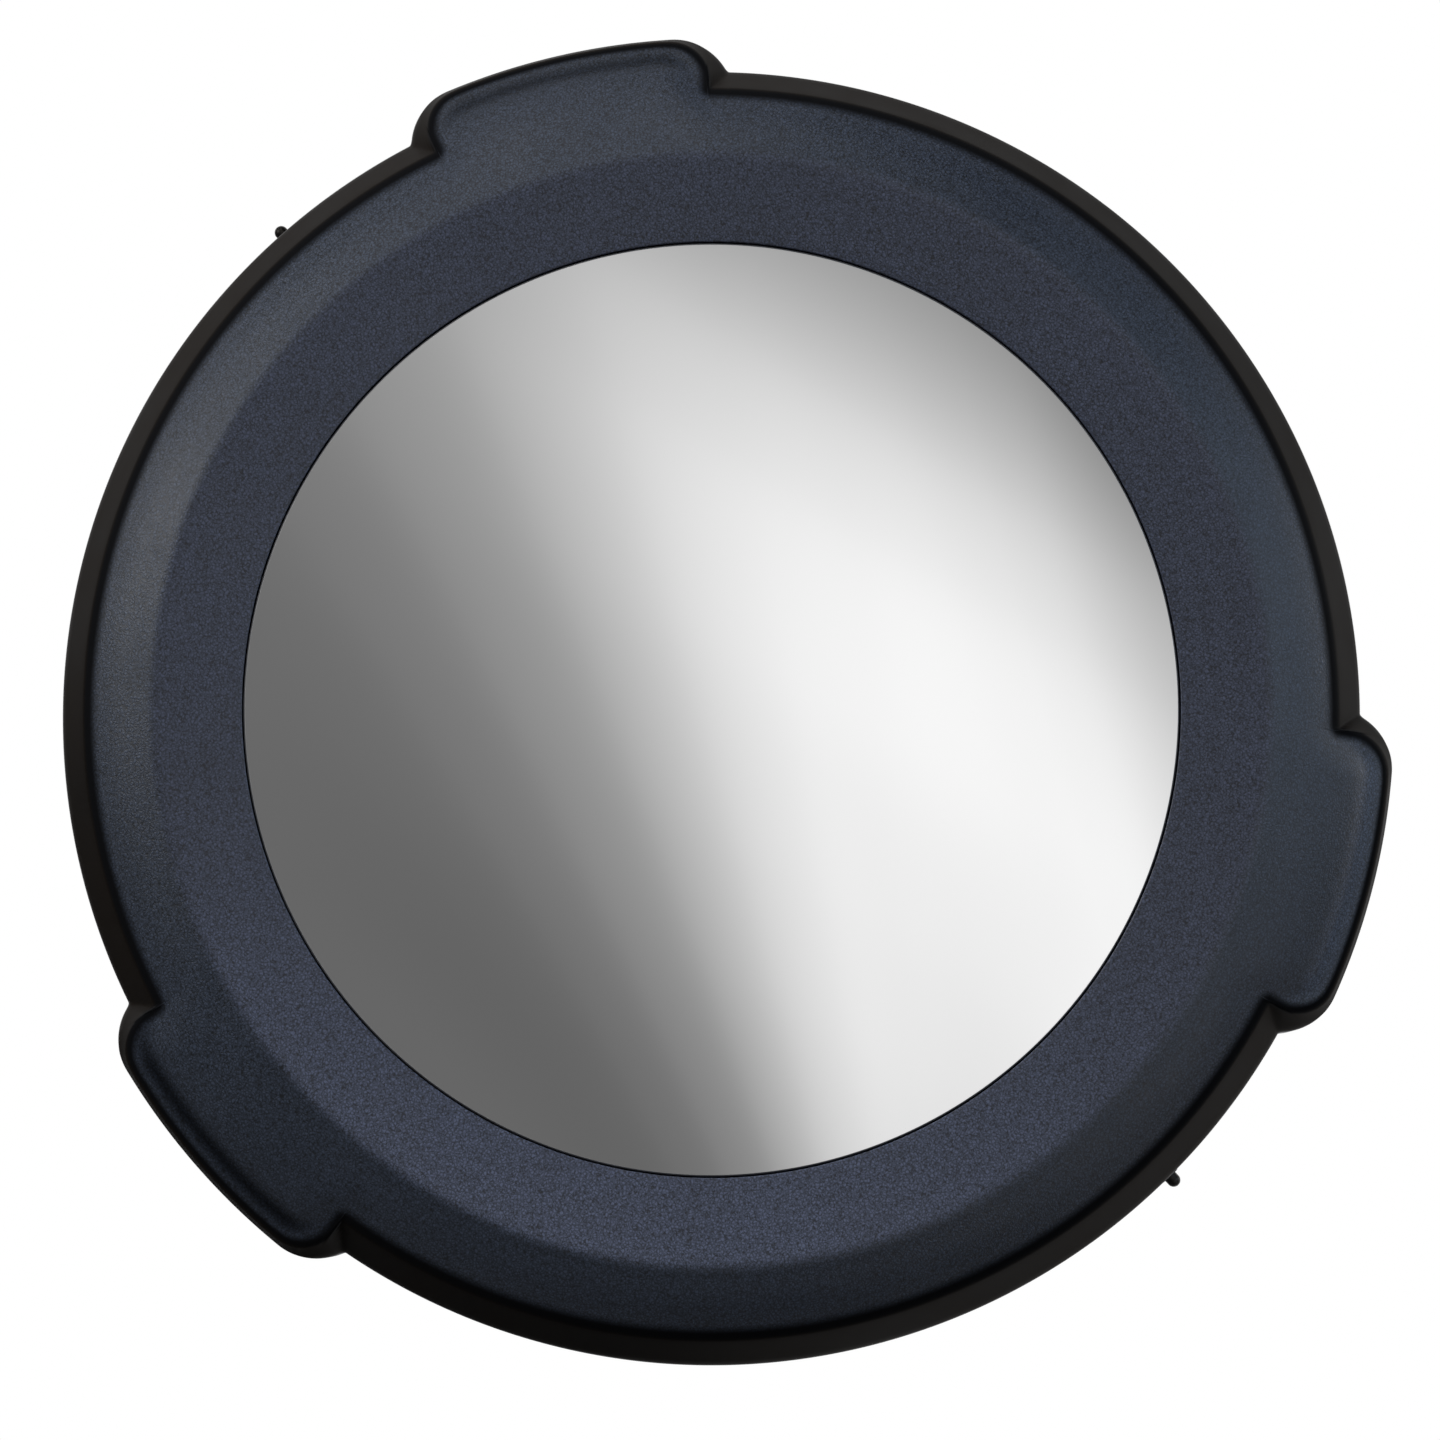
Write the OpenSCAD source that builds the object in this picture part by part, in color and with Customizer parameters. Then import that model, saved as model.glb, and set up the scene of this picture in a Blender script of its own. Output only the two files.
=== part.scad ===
// Convex security mirror on a wall bracket: the head tilts in a steel yoke and the yoke pans on an arm.
// Millimetres. X points right, Y points into the wall and Z points up. The mirror faces -Y.
// The origin is the middle of the wall plate's back face.

/* [Mirror] */
// Visible diameter of the mirror
mirror_view_d = 300; // [280:1:320]
// Rise of the dome from its edge to its middle
mirror_sag = 20; // [14:1:26]
// Thickness of the acrylic dome
mirror_t = 3; // [2:0.5:4]
// Width of the flat flange around the dome
flange_w = 9; // [7:1:11]
// Thickness of the foam seal at the lip of the shell
seal_t = 2.5; // [1.5:0.5:3]
// Distance of the dome's edge behind the lip of the shell
edge_drop = 0.6; // [0.4:0.1:1.5]
// Thickness of the backing board behind the mirror
board_t = 3.2; // [2.4:0.2:4]

/* [Front shell] */
// Diameter of the round rim
rim_d = 420; // [390:1:460]
// Depth of the straight skirt behind the rim
skirt_depth = 24; // [22:1:30]
// Thickness of the formed sheet
sheet_t = 3; // [2.5:0.5:3.5]
// Lean of the wall in front of the rim, from straight ahead
wall_lean = 28; // [24:1:30]
// Distance of the ridge, where the bevel meets the inner ring, inside the rim
ridge_inset = 32; // [30:0.5:35]
// Height of the ridge in front of the rim
ridge_h = 30; // [28:1:33]
// Slope of the bevel outside the ridge
bevel_angle = 30; // [28:1:31]
// Slope of the inner ring, down from the ridge to the mirror
ring_dip = 8; // [5:1:10]
// Radius of the round edge between the wall and the bevel
edge_r = 4; // [2:0.5:6]
// Radius of the round on the ridge
ridge_r = 6; // [3:0.5:9]
// Radius of the rolled lip round the mirror
lip_r = 0.5; // [0.3:0.1:1.4]

/* [Lobes] */
// Number of lobes on the rim
lobe_count = 3; // [3:1:3]
// Bearing of the first lobe, from X towards up
lobe_first = 32; // [28:1:34]
// Turn from one lobe to the next
lobe_step = 118; // [116:1:120]
// Reach of a lobe beyond the rim
lobe_reach = 11; // [9:1:12]
// Angle that the outer edge of a lobe spans
lobe_span = 19.4; // [17:0.2:21]
// Radius of the round shoulders of a lobe
shoulder_r = 19.5; // [19:0.5:22]

/* [Back cover] */
// Thickness of the cover
cover_t = 3; // [2.5:0.5:3.5]
// Gap between the cover and the inside of the skirt
cover_gap = 19; // [17:0.5:21]
// Width of the cover's outer flange
cover_flange_w = 18; // [16:0.5:20]
// Distance of the cover's outer flange behind the rim
cover_inset = 1; // [0:0.5:2]
// Height of the ribs on the cover
rib_h = 6; // [4:1:8]
// Thickness of the ribs
rib_t = 2.5; // [2:0.5:4]
// Number of ribs
rib_count = 9; // [6:3:12]
// Diameter of the ring that joins the ribs
hub_d = 90; // [70:5:110]
// Diameter of the blocks that take the cover screws
block_d = 16; // [14:1:17]
// Diameter of the cover screws
screw_d = 3.8; // [3.4:0.1:4.2]
// Length of the cover screws under the head
screw_l = 10; // [9:0.5:11]

/* [Tilt pivot] */
// Height of the tilt axis above the middle of the shell
tilt_rise = 6; // [4:0.5:7]
// Distance of the tilt axis behind the rim
pin_set_back = 12; // [11:0.5:13]
// Diameter of the pivot pins
pin_d = 4.4; // [4:0.1:5]
// Length of a pin's round end outside the skirt
pin_proud = 4.4; // [3.6:0.1:5]
// Outer diameter of the bushes in the skirt
bush_d = 6.6; // [6.4:0.1:7.2]
// Diameter of the bush flange inside the skirt
bush_flange_d = 13; // [12:0.5:14]
// Thickness of the bush flange
bush_flange_t = 1.5; // [1.2:0.1:1.6]
// Length of the bush collar outside the skirt
bush_proud = 0.5; // [0.4:0.1:0.8]
// Space between a yoke arm and the skirt
arm_space = 4.2; // [4:0.1:4.6]

/* [Yoke] */
// Width of the yoke's flat bar
bar_w = 26; // [22:1:26]
// Thickness of the yoke's flat bar
bar_t = 4; // [3:0.5:5]
// Inside radius of the yoke's bends
bend_r = 10; // [8:1:14]
// Gap between the yoke and the back edge of the skirt
yoke_gap = 22; // [20:1:30]
// Reach from the pan axis to the back of the yoke
lug_reach = 28; // [27:1:34]
// Height of the lug that turns in the clevis
lug_h = 20; // [16:1:24]
// Width of the lug round the pan bolt
lug_w = 24; // [20:1:26]
// Width of the lug's foot on the yoke
foot_w = 64; // [60:1:72]
// Thickness of the lug's foot
foot_t = 5; // [4:0.5:6]
// Distance between the two foot screws
foot_pitch = 46; // [44:1:48]
// Diameter of the foot screws
foot_screw_d = 5; // [4:0.5:5.5]

/* [Wall bracket] */
// Distance of the pan axis from the wall
pan_standoff = 125; // [120:1:150]
// Width of the wall plate
plate_w = 80; // [76:1:90]
// Height of the wall plate
plate_h = 120; // [112:1:130]
// Thickness of the wall plate
plate_t = 4; // [3:0.5:6]
// Radius of the wall plate's corners
plate_corner_r = 12; // [8:1:14]
// Distance between the wall holes, side to side
hole_pitch_w = 56; // [52:1:58]
// Distance between the wall holes, up and down
hole_pitch_h = 96; // [90:1:98]
// Diameter of the wall holes
hole_d = 5.5; // [4.5:0.1:6.5]
// Outer diameter of the support arm
arm_d = 25; // [24:1:30]
// Wall thickness of the support arm
arm_wall = 2; // [1.5:0.5:2.5]
// Leg of the weld between the arm and the wall plate
weld_leg = 4; // [2:0.5:5]

/* [Pan pivot] */
// Diameter of the pan bolt
bolt_d = 8; // [7:0.5:8.5]
// Width of the clevis
clevis_w = 30; // [28:1:32]
// Thickness of each clevis ear
ear_t = 5; // [4:0.5:6]
// Thickness of the clevis web behind the lug
web_t = 6; // [5:0.5:8]
// Thickness of the nylon thrust washers
thrust_t = 1; // [0.8:0.1:1.5]
// Diameter of the locking knob
knob_d = 38; // [34:1:42]
// Height of the locking knob
knob_h = 17; // [16:1:20]
// Number of grips on the locking knob
knob_grips = 6; // [5:1:7]

/* [Hidden] */
$fn = 96;

// Clearances: a running fit on the radius, a loose hole on the radius, and a face play
run_gap = 0.05;
hole_gap = 0.2;
face_gap = 0.1;
// Overlap of joined shapes, and how far a cut runs past a face
join = 0.5;
past = 1;
// Points along a small round in a profile
arc_steps = 8;
// Hexagons: width of the crown as a share of the flats, and slope of the turned corners
hex_crown = 0.95;
hex_slope = 30;

// Front shell: radii from its axis and heights in front of the rim
rim_r = rim_d / 2;
skirt_in_r = rim_r - sheet_t;
ridge_r0 = rim_r - ridge_inset;
view_r = mirror_view_d / 2;
lobe_r = rim_r + lobe_reach;
// A lobe's shoulders stand a hair proud of its outer edge, so that the two surfaces cross cleanly
shoulder_proud = 0.15;
shoulder_at = lobe_r - shoulder_r + shoulder_proud;
// How far the round between the wall and the bevel stands proud before the bevel cuts it, per its radius
crown_share = 0.02;
lip_h = ring_height(view_r);
lip_under = ring_under(view_r);

// Mirror stack, front to back: the dome's neck passes through the lip
neck_gap = 0.4;
neck_r = view_r - neck_gap;
dome_edge_h = lip_h - edge_drop;
flange_r = view_r + flange_w;
flange_h = lip_under - seal_t;
board_h = flange_h - mirror_t;
seat_h = board_h - board_t;
dome_r = (neck_r * neck_r + mirror_sag * mirror_sag) / (2 * mirror_sag);
dome_mid_h = dome_edge_h + mirror_sag - dome_r;

// Back cover
seat_inset = 1;
seat_r = flange_r - seat_inset;
cover_r = skirt_in_r - cover_gap;
dish_r = cover_r - cover_flange_w;
cover_back = -cover_inset - cover_t;
cover_lip_h = 6;
ear_gap = 2;
ear_root = 14;
block_inset = 7;
block_r = rim_r - block_inset;
screw_head_d = 2 * screw_d;
screw_head_h = 0.65 * screw_d;
recess_w = 0.28 * screw_d;
recess_l = 1.2 * screw_d;
recess_depth = 0.35 * screw_d;

// Stations along Y
yoke_back_y = -(pan_standoff + lug_reach);
yoke_front_y = yoke_back_y - bar_t;
pin_y = yoke_front_y - yoke_gap - skirt_depth + pin_set_back;
rim_y = pin_y - pin_set_back;

// Tilt pivot, distances from the middle along X
pin_r = pin_d / 2;
arm_out = skirt_in_r - arm_space;
arm_in = arm_out - bar_t;
flange_clear = bush_flange_d / 2 + tilt_rise;
bush_seat = sqrt(skirt_in_r * skirt_in_r - flange_clear * flange_clear) - face_gap;
bush_out = rim_r + bush_proud;
washer_room = bush_seat - bush_flange_t - arm_out;
washer_d = bush_flange_d - 1;
nut_flats = 1.75 * pin_d;
nut_t = 0.8 * pin_d;
pin_tail = 1.5;

// Foot screws and pan pivot
foot_head_d = 1.9 * foot_screw_d;
foot_head_h = 0.55 * foot_screw_d;
foot_key_flats = 0.6 * foot_screw_d;
foot_key_depth = 0.6 * foot_head_h;
bolt_r = bolt_d / 2;
fork_h = lug_h + 2 * thrust_t + 4 * face_gap;
clevis_h = fork_h + 2 * ear_t;
web_gap = 3;
web_front_y = -pan_standoff + lug_w / 2 + web_gap;
thrust_d = lug_w - 2;
web_back_y = web_front_y + web_t;
spigot_l = 14;
bolt_washer_d = 2 * bolt_d;
bolt_washer_t = 0.2 * bolt_d;
bolt_flats = 1.625 * bolt_d;
bolt_head_h = 0.66 * bolt_d;
knob_top = -clevis_h / 2 - 3 * face_gap;
bolt_in_knob = 11;
insert_l = 13;
insert_d = 1.5 * bolt_d;
knob_base_h = 2;
knob_base_r = 1.5;
knob_crown_r = 3;
grip_start = 2.5;
grip_cut_d = 0.32 * knob_d;

// Height of the ring, the bevel and their undersides at a radius from the shell's axis
function ring_height(r) = ridge_h - (ridge_r0 - r) * tan(ring_dip);
function ring_under(r) = ring_height(r) - sheet_t / cos(ring_dip);
function bevel_height(r) = ridge_h - (r - ridge_r0) * tan(bevel_angle);
function bevel_under(r) = bevel_height(r) - sheet_t / cos(bevel_angle);

// Height and radius where a wall that stands on a given radius meets the bevel or its underside
function edge_height(foot, top) =
    (top - (foot - ridge_r0) * tan(bevel_angle)) / (1 - tan(wall_lean) * tan(bevel_angle));
function edge_point(foot, top) =
    let (h = edge_height(foot, top)) [foot - h * tan(wall_lean), h];

// Radius where the undersides of the ring and the bevel meet
ridge_under_r = ridge_r0
    + sheet_t * (1 / cos(ring_dip) - 1 / cos(bevel_angle)) / (tan(ring_dip) + tan(bevel_angle));

// Points of a round of radius r at corner b, between the sides towards a and c
function unit(v) = v / norm(v);
function round_at(a, b, c, r) =
    let (
        u = unit(a - b),
        w = unit(c - b),
        half = acos(u * w) / 2,
        mid = b + unit(u + w) * r / sin(half),
        from = b + u * r / tan(half) - mid,
        to = b + w * r / tan(half) - mid
    )
    [
        for (i = [0 : arc_steps])
            let (t = i / arc_steps, turn = 180 - 2 * half)
            mid + (sin((1 - t) * turn) * from + sin(t * turn) * to) / sin(turn)
    ];

// Carries a shape from the shell's own frame, facing +Z with its rim at zero, to its place
module on_head() {
    translate([0, rim_y, -tilt_rise])
    rotate([90, 0, 0])
    children();
}

// Lays a shape that stands along Z along the tilt axis, on the right (1) or left (-1) side
module on_pivot(side) {
    translate([0, pin_y, 0])
    rotate([0, 90 * side, 0])
    children();
}

// Hexagon that stands on its flat face, with its corners turned off at the top
module hexagon(flats, h) {
    crown_r = hex_crown * flats / 2;
    run = 1 / tan(hex_slope);
    intersection() {
        cylinder(h = h, d = flats / cos(30), $fn = 6);
        translate([0, 0, -past])
        cylinder(h = h + 2 * past, r1 = crown_r + (h + past) * run, r2 = crown_r - past * run);
    }
}

// Round screw head that stands on its flat face
module round_head(d, h) {
    r = (d * d / 4 + h * h) / (2 * h);
    intersection() {
        translate([0, 0, h - r])
        sphere(r);
        cylinder(h = h + past, d = 2 * d);
    }
}

// Repeats a shape at each lobe
module at_lobes() {
    for (i = [0 : lobe_count - 1])
        rotate(lobe_first + i * lobe_step)
        children();
}

// Sector of the plane that the outer edge of a lobe spans
module lobe_sector(r) {
    far = r / cos(lobe_span / 2);
    polygon([
        [0, 0],
        far * [cos(lobe_span / 2), -sin(lobe_span / 2)],
        far * [cos(lobe_span / 2), sin(lobe_span / 2)]
    ]);
}

// Plan of a lobe, drawn in by an inset all round
module lobe_plan(inset) {
    intersection() {
        circle(lobe_r - inset);
        lobe_sector(lobe_r);
    }
    for (side = [-1, 1])
        rotate(side * lobe_span / 2)
        translate([shoulder_at, 0])
        circle(shoulder_r - inset);
}

// Drum with a straight skirt behind the rim and a leaning wall in front of it
module leaning_drum(r, back, rise) {
    rotate_extrude()
    polygon([[0, -back], [r, -back], [r, 0], [r - rise * tan(wall_lean), rise], [0, rise]]);
}

// Lobe that reaches past the bevel in front, to be cut by it
module lobe_block(inset, back) {
    rise = edge_height(rim_r - 2 * sheet_t, ridge_h);
    intersection() {
        leaning_drum(lobe_r - inset, back, rise);
        translate([0, 0, -back - past])
        linear_extrude(back + rise + 2 * past)
        lobe_sector(lobe_r);
    }
    for (side = [-1, 1])
        rotate(side * lobe_span / 2)
        translate([shoulder_at, 0, 0])
        leaning_drum(shoulder_r - inset, back, rise);
}

// Round drum of the shell with the round between its wall and the bevel, to be cut by the bevel
module rim_block() {
    crown = crown_share * edge_r;
    foot = [rim_r, 0];
    edge = edge_point(rim_r, ridge_h + crown);
    round_edge = round_at(foot, edge, [ridge_r0, ridge_h + crown], edge_r);
    rotate_extrude()
    polygon(concat(
        [[0, -skirt_depth - past], [rim_r, -skirt_depth - past], foot],
        round_edge,
        [[round_edge[arc_steps][0], ridge_h + past], [0, ridge_h + past]]
    ));
}

// Everything behind the bevel, the ridge, the ring and the lip
module front_form() {
    far = lobe_r + past;
    far_point = [far, bevel_height(far)];
    ridge = [ridge_r0, ridge_h];
    lip = [view_r, lip_h];
    rotate_extrude()
    polygon(concat(
        [[view_r, -skirt_depth], [far, -skirt_depth], far_point],
        round_at(far_point, ridge, lip, ridge_r),
        round_at(ridge, lip, [view_r, 0], lip_r)
    ));
}

// Everything behind the undersides of the bevel and the ring, less a play
module behind_front(play) {
    far = lobe_r + past;
    near = view_r - past;
    back = skirt_depth + 2 * past;
    rotate_extrude()
    polygon([
        [near, -back],
        [far, -back],
        [far, bevel_under(far) - play],
        [ridge_under_r, bevel_under(ridge_under_r) - play],
        [near, ring_under(near) - play]
    ]);
}

// Formed plastic front with three lobes, the bevel, the ridge and the lip round the mirror
module front_shell() {
    color([0.12, 0.13, 0.16])
    on_head()
    difference() {
        intersection() {
            union() {
                rim_block();
                at_lobes() lobe_block(0, skirt_depth + 2 * past);
            }
            front_form();
        }
        intersection() {
            union() {
                leaning_drum(skirt_in_r, skirt_depth + past, ridge_h);
                at_lobes() lobe_block(sheet_t, skirt_depth + 3 * past);
            }
            behind_front(0);
        }
        for (side = [-1, 1])
            translate([0, tilt_rise, -pin_set_back])
            rotate([0, 90 * side, 0])
            translate([0, 0, skirt_in_r - sheet_t])
            cylinder(h = 3 * sheet_t, d = bush_d + 2 * run_gap);
    }
}

// Metallised acrylic dome, with a neck through the lip and a flat flange behind it
module mirror_dome() {
    color([0.85, 0.87, 0.9])
    on_head()
    difference() {
        union() {
            intersection() {
                translate([0, 0, dome_mid_h])
                sphere(dome_r);
                translate([0, 0, flange_h - join])
                cylinder(h = 2 * mirror_sag, r = neck_r);
            }
            translate([0, 0, board_h])
            cylinder(h = mirror_t, r = flange_r);
        }
        intersection() {
            translate([0, 0, dome_mid_h])
            sphere(dome_r - mirror_t);
            translate([0, 0, board_h - past])
            cylinder(h = 2 * mirror_sag, r = neck_r - mirror_t);
        }
    }
}

// Foam seal between the mirror's flange and the underside of the ring
module mirror_seal() {
    color([0.06, 0.06, 0.06])
    on_head()
    intersection() {
        translate([0, 0, flange_h])
        difference() {
            cylinder(h = ridge_h, r = flange_r);
            translate([0, 0, -past])
            cylinder(h = ridge_h + 2 * past, r = view_r);
        }
        behind_front(face_gap);
    }
}

// Hardboard disc that closes the back of the dome
module backing_board() {
    color([0.42, 0.29, 0.18])
    on_head()
    translate([0, 0, seat_h])
    cylinder(h = board_t, r = flange_r);
}

// Plan of the cover's flange and of the ears that reach into the lobes
module ear_plan() {
    difference() {
        union() {
            circle(cover_r);
            at_lobes() lobe_plan(sheet_t + ear_gap);
        }
        circle(cover_r - ear_root);
        at_lobes()
        translate([block_r, 0])
        circle(d = screw_d + 2 * hole_gap);
    }
}

// Ribs of the cover, standing back from its floor
module cover_ribs() {
    floor_h = seat_h - cover_t;
    for (i = [0 : rib_count - 1])
        rotate(i * 360 / rib_count)
        translate([hub_d / 2 - rib_t, -rib_t / 2, floor_h - rib_h])
        cube([seat_r - hub_d / 2, rib_t, rib_h + join]);
    translate([0, 0, floor_h - rib_h])
    difference() {
        cylinder(h = rib_h + join, d = hub_d);
        translate([0, 0, -past])
        cylinder(h = rib_h + join + 2 * past, d = hub_d - 2 * rib_t);
    }
}

// Dished back cover that holds the mirror stack against the shell
module back_cover() {
    color([0.07, 0.07, 0.08])
    on_head() {
        rotate_extrude()
        polygon([
            [0, seat_h - cover_t],
            [seat_r - cover_t, seat_h - cover_t],
            [dish_r - cover_t, cover_back],
            [cover_r, cover_back],
            [cover_r, cover_back + cover_t + cover_lip_h],
            [cover_r - cover_t, cover_back + cover_t + cover_lip_h],
            [cover_r - cover_t, -cover_inset],
            [dish_r, -cover_inset],
            [seat_r, seat_h],
            [0, seat_h]
        ]);
        translate([0, 0, cover_back])
        linear_extrude(cover_t)
        ear_plan();
        cover_ribs();
    }
}

// Blocks bonded under the lobes, one for each cover screw
module screw_blocks() {
    color([0.1, 0.1, 0.11])
    on_head()
    intersection() {
        at_lobes()
        translate([block_r, 0, -cover_inset])
        difference() {
            cylinder(h = ridge_h, d = block_d);
            translate([0, 0, -past])
            cylinder(h = screw_l - cover_t + 2 * past, d = screw_d + 2 * run_gap);
        }
        behind_front(face_gap);
    }
}

// Pan-head screws through the cover's ears
module cover_screws() {
    color([0.62, 0.62, 0.64])
    on_head()
    at_lobes()
    translate([block_r, 0, cover_back])
    difference() {
        union() {
            cylinder(h = screw_l, d = screw_d);
            mirror([0, 0, 1])
            round_head(screw_head_d, screw_head_h);
        }
        for (turn = [0, 90])
            rotate(turn)
            translate([-recess_l / 2, -recess_w / 2, -screw_head_h - past])
            cube([recess_l, recess_w, recess_depth + past]);
    }
}

// Flanged bush in the skirt
module pivot_bush(side) {
    color([0.05, 0.05, 0.05])
    on_pivot(side)
    difference() {
        union() {
            translate([0, 0, bush_seat - bush_flange_t])
            cylinder(h = bush_flange_t, d = bush_flange_d);
            translate([0, 0, bush_seat - join])
            cylinder(h = bush_out - bush_seat + join, d = bush_d);
        }
        translate([0, 0, bush_seat - bush_flange_t - past])
        cylinder(h = bush_out - bush_seat + bush_flange_t + 2 * past, d = pin_d + 2 * run_gap);
    }
}

module pivot_bush_left() pivot_bush(-1);
module pivot_bush_right() pivot_bush(1);

// Washer between a yoke arm and the bush, which holds the tilt by friction
module friction_washer(side) {
    color([0.75, 0.73, 0.66])
    on_pivot(side)
    translate([0, 0, arm_out + face_gap])
    difference() {
        cylinder(h = washer_room - 2 * face_gap, d = washer_d);
        translate([0, 0, -past])
        cylinder(h = washer_room + 2 * past, d = pin_d + 2 * run_gap);
    }
}

module friction_washer_left() friction_washer(-1);
module friction_washer_right() friction_washer(1);

// Pivot pin with a round end that shows outside the skirt
module pivot_pin(side) {
    tail = arm_in - nut_t - pin_tail;
    tip = rim_r + pin_proud - pin_r;
    color([0.09, 0.09, 0.09])
    on_pivot(side) {
        translate([0, 0, tail])
        cylinder(h = tip - tail, d = pin_d);
        translate([0, 0, tip])
        sphere(pin_r);
    }
}

module pivot_pin_left() pivot_pin(-1);
module pivot_pin_right() pivot_pin(1);

// Nuts on the inner ends of the pivot pins
module pin_nuts() {
    color([0.62, 0.62, 0.64])
    for (side = [-1, 1])
        on_pivot(side)
        translate([0, 0, arm_in])
        mirror([0, 0, 1])
        difference() {
            hexagon(nut_flats, nut_t);
            translate([0, 0, -past])
            cylinder(h = nut_t + 2 * past, d = pin_d + 2 * run_gap);
        }
}

// One arm of the yoke, drawn in the YZ plane and round at the pin
module yoke_arm_plan() {
    bend_y = yoke_back_y - bend_r - bar_t;
    translate([pin_y, -bar_w / 2])
    square([bend_y - pin_y, bar_w]);
    translate([pin_y, 0])
    circle(d = bar_w);
}

// Flat steel bar bent to a U round the back of the head
module yoke_bar() {
    bend_out = bend_r + bar_t;
    bend_x = arm_out - bend_out;
    bend_y = yoke_back_y - bend_out;
    color([0.07, 0.07, 0.075])
    difference() {
        union() {
            translate([-bend_x, yoke_front_y, -bar_w / 2])
            cube([2 * bend_x, bar_t, bar_w]);
            for (side = [0, 1])
                mirror([side, 0, 0]) {
                    translate([bend_x, bend_y, -bar_w / 2])
                    intersection() {
                        difference() {
                            cylinder(h = bar_w, r = bend_out);
                            translate([0, 0, -past])
                            cylinder(h = bar_w + 2 * past, r = bend_r);
                        }
                        cube([bend_out, bend_out, bar_w]);
                    }
                    translate([arm_in, 0, 0])
                    rotate([90, 0, 90])
                    linear_extrude(bar_t)
                    yoke_arm_plan();
                }
        }
        for (side = [-1, 1])
            on_pivot(side)
            translate([0, 0, arm_in - past])
            cylinder(h = bar_t + 2 * past, d = pin_d + 2 * run_gap);
        for (side = [-1, 1])
            translate([side * foot_pitch / 2, yoke_back_y + past, 0])
            rotate([90, 0, 0])
            cylinder(h = bar_t + 2 * past, d = foot_screw_d + 2 * hole_gap);
    }
}

// Lug that carries the yoke and turns on the pan bolt
module yoke_lug() {
    foot_y = yoke_back_y + foot_t;
    color([0.07, 0.07, 0.075])
    difference() {
        union() {
            translate([-foot_w / 2, yoke_back_y, -bar_w / 2])
            cube([foot_w, foot_t, bar_w]);
            translate([0, 0, -lug_h / 2])
            linear_extrude(lug_h) {
                translate([0, -pan_standoff])
                circle(d = lug_w);
                translate([-lug_w / 2, foot_y - join])
                square([lug_w, -pan_standoff - foot_y + join]);
            }
        }
        translate([0, -pan_standoff, -lug_h / 2 - past])
        cylinder(h = lug_h + 2 * past, r = bolt_r + run_gap);
        for (side = [-1, 1])
            translate([side * foot_pitch / 2, foot_y + past, 0])
            rotate([90, 0, 0])
            cylinder(h = foot_t + 2 * past, d = foot_screw_d + 2 * run_gap);
    }
}

// Button-head screws that hold the yoke on the lug's foot
module foot_screws() {
    color([0.62, 0.62, 0.64])
    for (side = [-1, 1])
        translate([side * foot_pitch / 2, yoke_front_y, 0])
        rotate([-90, 0, 0])
        difference() {
            union() {
                cylinder(h = bar_t + foot_t, d = foot_screw_d);
                mirror([0, 0, 1])
                round_head(foot_head_d, foot_head_h);
            }
            translate([0, 0, -foot_head_h - past])
            cylinder(h = foot_key_depth + past, d = foot_key_flats / cos(30), $fn = 6);
        }
}

// Nylon washers above and below the lug
module thrust_washers() {
    color([0.75, 0.73, 0.66])
    for (z = [lug_h / 2 + face_gap, -lug_h / 2 - face_gap - thrust_t])
        translate([0, -pan_standoff, z])
        difference() {
            cylinder(h = thrust_t, d = thrust_d);
            translate([0, 0, -past])
            cylinder(h = thrust_t + 2 * past, r = bolt_r + run_gap);
        }
}

// Hexagon bolt that the lug turns on
module pan_bolt() {
    head_z = clevis_h / 2 + bolt_washer_t;
    end_z = knob_top - bolt_in_knob;
    color([0.62, 0.62, 0.64])
    translate([0, -pan_standoff, 0]) {
        translate([0, 0, end_z])
        cylinder(h = head_z - end_z, r = bolt_r);
        translate([0, 0, head_z])
        hexagon(bolt_flats, bolt_head_h);
    }
}

// Steel washer under the bolt's head
module bolt_washer() {
    color([0.62, 0.62, 0.64])
    translate([0, -pan_standoff, clevis_h / 2])
    difference() {
        cylinder(h = bolt_washer_t, d = bolt_washer_d);
        translate([0, 0, -past])
        cylinder(h = bolt_washer_t + 2 * past, r = bolt_r + run_gap);
    }
}

// Fork on the end of the arm, with a spigot that fits inside the tube
module arm_clevis() {
    color([0.07, 0.07, 0.075])
    difference() {
        union() {
            for (z = [fork_h / 2, -fork_h / 2 - ear_t])
                translate([0, 0, z])
                linear_extrude(ear_t) {
                    translate([0, -pan_standoff])
                    circle(d = clevis_w);
                    translate([-clevis_w / 2, -pan_standoff])
                    square([clevis_w, web_front_y + pan_standoff + join]);
                }
            translate([-clevis_w / 2, web_front_y, -clevis_h / 2])
            cube([clevis_w, web_t, clevis_h]);
            translate([0, web_back_y - join, 0])
            rotate([-90, 0, 0])
            cylinder(h = spigot_l + join, d = arm_d - 2 * arm_wall - 2 * run_gap);
        }
        translate([0, -pan_standoff, -clevis_h / 2 - past])
        cylinder(h = clevis_h + 2 * past, r = bolt_r + run_gap);
    }
}

// Steel tube welded to the wall plate
module support_arm() {
    arm_r = arm_d / 2;
    color([0.07, 0.07, 0.075])
    translate([0, -plate_t, 0])
    rotate([90, 0, 0])
    rotate_extrude()
    polygon([
        [arm_r - arm_wall, 0],
        [arm_r + weld_leg, 0],
        [arm_r, weld_leg],
        [arm_r, -plate_t - web_back_y],
        [arm_r - arm_wall, -plate_t - web_back_y]
    ]);
}

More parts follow.
